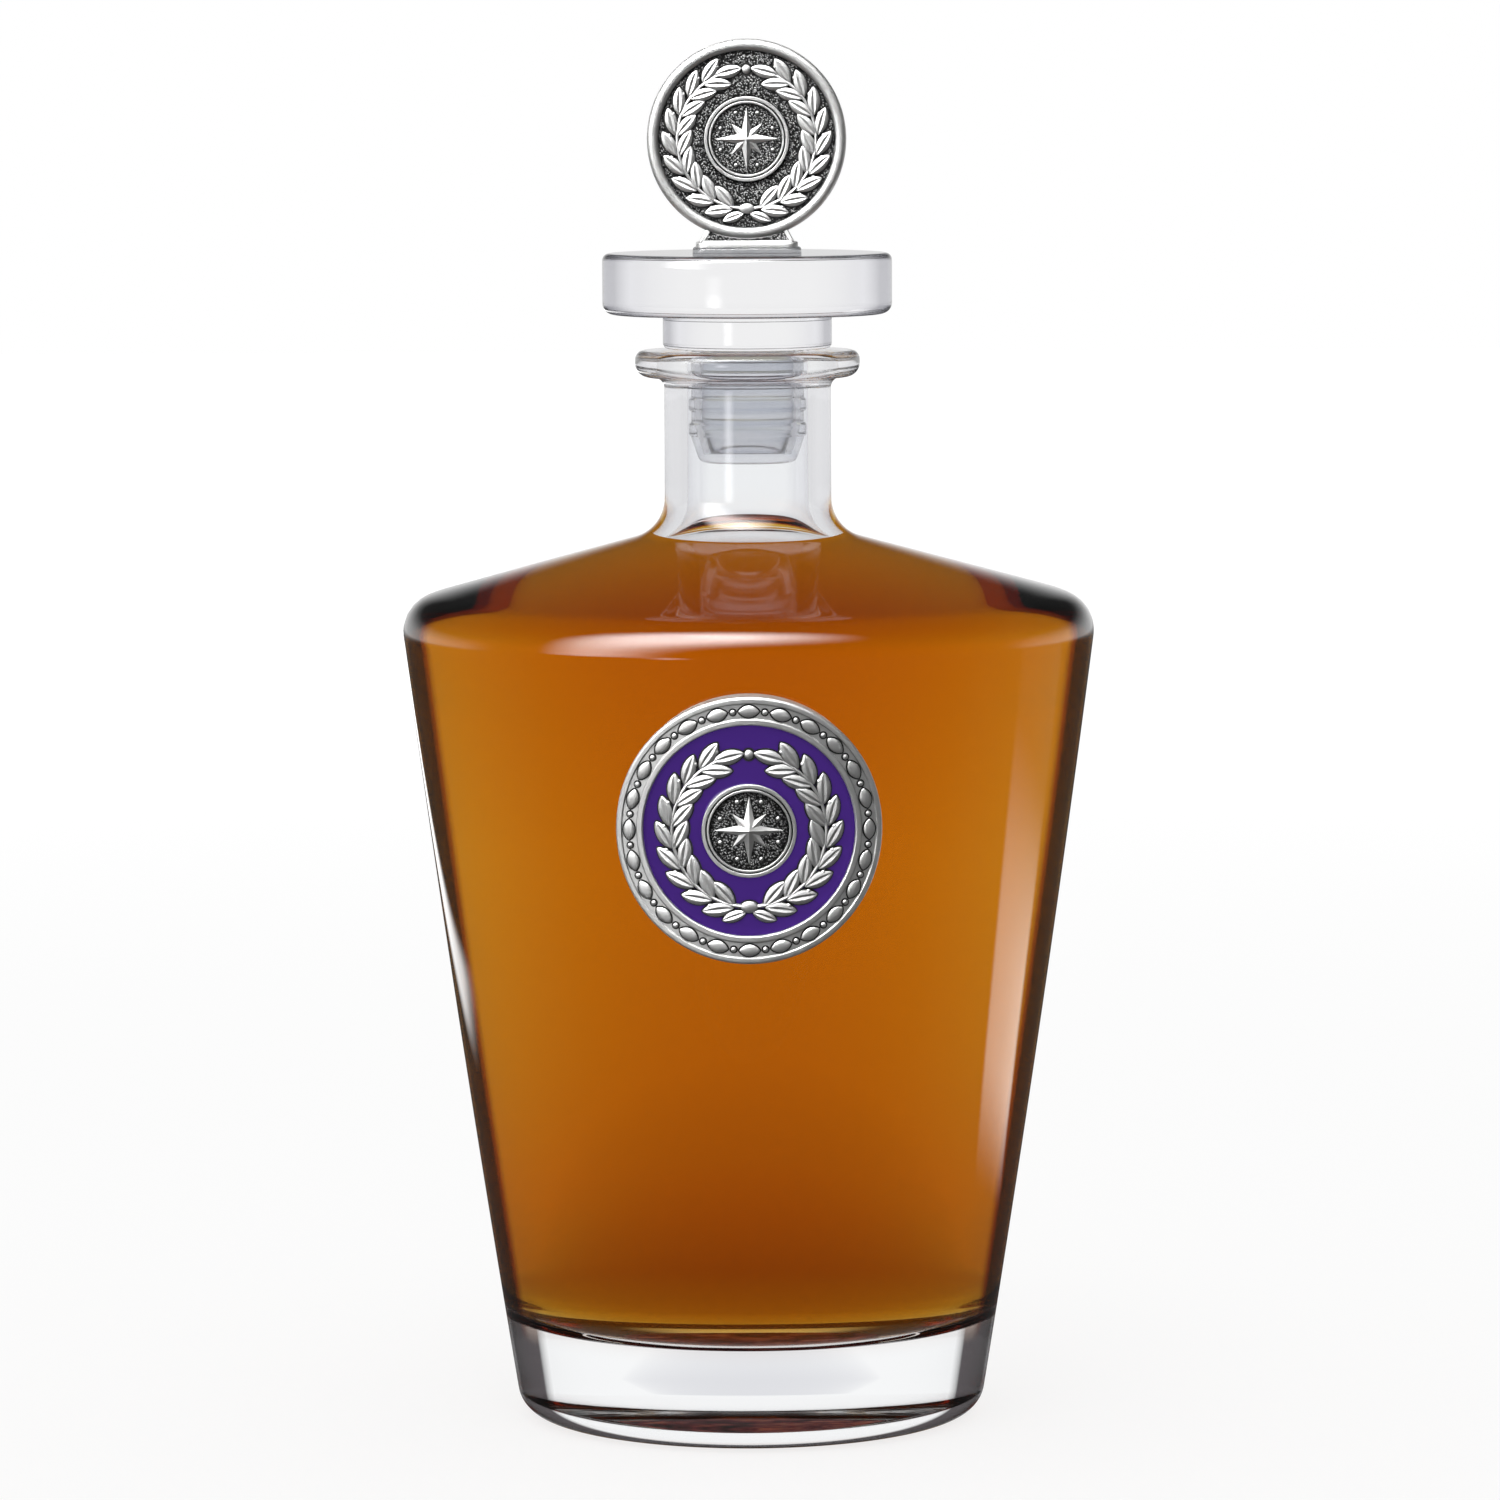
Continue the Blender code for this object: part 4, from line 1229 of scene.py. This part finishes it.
def is_sharp(edge):
    """Whether an edge's two faces meet at a clear angle."""
    return edge.calc_face_angle(0) > FACET_ANGLE


def foot_block(spread, low, high, edge_round):
    """A bmesh block this much wider than the finial's foot all round, with a rounded top edge."""
    shape = bmesh.new()
    bmesh.ops.create_cube(shape, size=1)
    width = FINIAL_FOOT_LENGTH + 2 * spread
    depth = FINIAL_FOOT_DEPTH + 2 * spread
    for vert in shape.verts:
        vert.co = (vert.co.x * width, vert.co.y * depth, low if vert.co.z < 0 else high)
    upright = [edge for edge in shape.edges if edge.verts[0].co.z != edge.verts[1].co.z]
    bevel(shape, upright, FOOT_CORNER + spread, CORNER_STEPS)
    at_top = [edge for edge in shape.edges if all(abs(vert.co.z - high) < MERGE for vert in edge.verts)]
    bevel(shape, [edge for edge in at_top if is_sharp(edge)], edge_round, EDGE_STEPS)
    return shape


cement_mesh = foot_block(CEMENT_BEAD, cement_bottom, cement_top, CEMENT_ROUND)
finish_piece("cement_bead", cement_mesh, [clear_adhesive], "stopper", "finial_cement")

# Finial casting
# A second medallion in the same pewter, cast in one with the foot it stands on. A half-round bead frames
# a sunk, stippled field with the wreath and the rose, on both faces.

MEDALLION_RADIUS = 16.4 * MM
BEAD_WIDTH = 1.9 * MM
BEAD_THICKNESS = 3.4 * MM
BEAD_OUTER_SHARE = 0.48
BEAD_INNER_SHARE = 0.45
FIELD_THICKNESS = 1.8 * MM
PLINTH_HEIGHT = 0.8 * MM
PLINTH_EDGE = 0.3 * MM
MEDALLION_LIFT = 1.3 * MM
TAB_BOTTOM_WIDTH = 16.0 * MM
TAB_TOP_WIDTH = 12.6 * MM
TAB_BOTTOM_DEPTH = 3.2 * MM
TAB_TOP_DEPTH = 2.4 * MM
TAB_FRAME = 0.7 * MM
FACES_FRONT = 0.9
TAB_PANEL_DEPTH = 0.15 * MM
TAB_EDGE = 0.22 * MM
TAB_EDGE_STEPS = 3
TAB_ARC_STEPS = 12
FINIAL_SIZE = 0.92
FINIAL_BOSS_RISE = 0.6 * MM
FINIAL_BOSS_FIELD = 0.12 * MM

medallion_centre = finial_bottom + MEDALLION_LIFT + MEDALLION_RADIUS
half_field = FIELD_THICKNESS / 2
half_bead = BEAD_THICKNESS / 2
field_radius = MEDALLION_RADIUS - BEAD_WIDTH
finial_boss = BOSS_RADIUS * FINIAL_SIZE
boss_field = half_field + FINIAL_BOSS_FIELD
front_face = [
    (MEDALLION_RADIUS, half_bead, BEAD_WIDTH * BEAD_OUTER_SHARE),
    (field_radius, half_bead, BEAD_WIDTH * BEAD_INNER_SHARE),
    (field_radius, half_field, 0),
    (finial_boss, half_field, 0),
    *medal_boss(finial_boss, half_field + FINIAL_BOSS_RISE, boss_field, FINIAL_SIZE),
]
back_face = [(radius, -height, fillet) for radius, height, fillet in reversed(front_face)]
finial_mesh = turned_solid(back_face + front_face, EMBLEM_RING_STEP, EMBLEM_SEGMENTS)
for face in finial_mesh.faces:
    radius, _ = middle_of(face)
    on_boss = finial_boss - BORDER_WIDTH * 2 * FINIAL_SIZE < radius < finial_boss + MERGE
    if radius < field_radius and not on_boss and abs(face.normal.z) > FACES_FRONT:
        face.material_index = 1
for turn in (0, math.pi):
    relief = bmesh.new()
    add_wreath(relief, FINIAL_SIZE, half_field)
    add_compass_rose(relief, FINIAL_SIZE, boss_field)
    stamp(finial_mesh, as_mesh("finial_relief", relief), Matrix.Rotation(turn, 4, "Y"))
upright = Matrix.Translation((0, 0, medallion_centre)) @ Matrix.Rotation(UPRIGHT, 4, "X")
bmesh.ops.transform(finial_mesh, matrix=upright, verts=finial_mesh.verts)

plinth_top = finial_bottom + PLINTH_HEIGHT
plinth = foot_block(0, finial_bottom, plinth_top, PLINTH_EDGE)
stamp(finial_mesh, as_mesh("plinth", plinth), Matrix())

tab = bmesh.new()
tab_bottom = plinth_top - PLINTH_EDGE
bead_middle = MEDALLION_RADIUS - BEAD_WIDTH / 2
tab_corner = math.asin(TAB_TOP_WIDTH / 2 / bead_middle)
tab_points = [(-TAB_BOTTOM_WIDTH / 2, tab_bottom), (TAB_BOTTOM_WIDTH / 2, tab_bottom)]
for step in range(TAB_ARC_STEPS + 1):
    angle = tab_corner * (1 - 2 * step / TAB_ARC_STEPS)
    tab_points.append((bead_middle * math.sin(angle), medallion_centre - bead_middle * math.cos(angle)))
tab_back = tab.faces.new([tab.verts.new((x, 0.5, z)) for x, z in tab_points])
bulk = bmesh.ops.extrude_face_region(tab, geom=[tab_back])["geom"]
for vert in [item for item in bulk if isinstance(item, bmesh.types.BMVert)]:
    vert.co.y = -0.5
bmesh.ops.recalc_face_normals(tab, faces=tab.faces)
tab_top = max(height for _, height in tab_points)
for vert in tab.verts:
    share = (vert.co.z - tab_bottom) / (tab_top - tab_bottom)
    vert.co.y *= TAB_BOTTOM_DEPTH + (TAB_TOP_DEPTH - TAB_BOTTOM_DEPTH) * share
bevel(tab, [edge for edge in tab.edges if is_sharp(edge)], TAB_EDGE, TAB_EDGE_STEPS)
panels = [face for face in tab.faces if abs(face.normal.y) > FACES_FRONT and len(face.verts) > TAB_ARC_STEPS]
bmesh.ops.inset_individual(tab, faces=panels, thickness=TAB_FRAME, depth=-TAB_PANEL_DEPTH)
for face in panels:
    face.material_index = 1
stamp(finial_mesh, as_mesh("tab", tab), Matrix())

finial = finish_piece(
    "finial_medallion", finial_mesh, casting_materials, "stopper", "finial_casting", FACET_ANGLE
)

# Light on the pewter
# Two soft lamps low in front, kept off the glass, give the castings their bright faces. The finial, which
# also mirrors the softbox overhead, needs less of them.

KEY_AIM = (0, 0, 0.14)
KEY_WIDTH = 0.7
KEY_HEIGHT = 0.24
KEY_LAMPS = (("left_key", (-0.62, -1.0, 0.14), 3.4), ("right_key", (0.62, -1.0, 0.12), 1.7))
EMBLEM_SHARE = 1.5
FINIAL_SHARE = 0.25

for piece, share in ((emblem_casting, EMBLEM_SHARE), (finial, FINIAL_SHARE)):
    lit_alone = bpy.data.collections.new(piece.name + "_alone")
    lit_alone.objects.link(piece)
    for name, lamp_place, brightness in KEY_LAMPS:
        lamp = add_softbox(name, lamp_place, KEY_AIM, KEY_WIDTH, KEY_HEIGHT, brightness * share)
        lamp.light_linking.receiver_collection = lit_alone
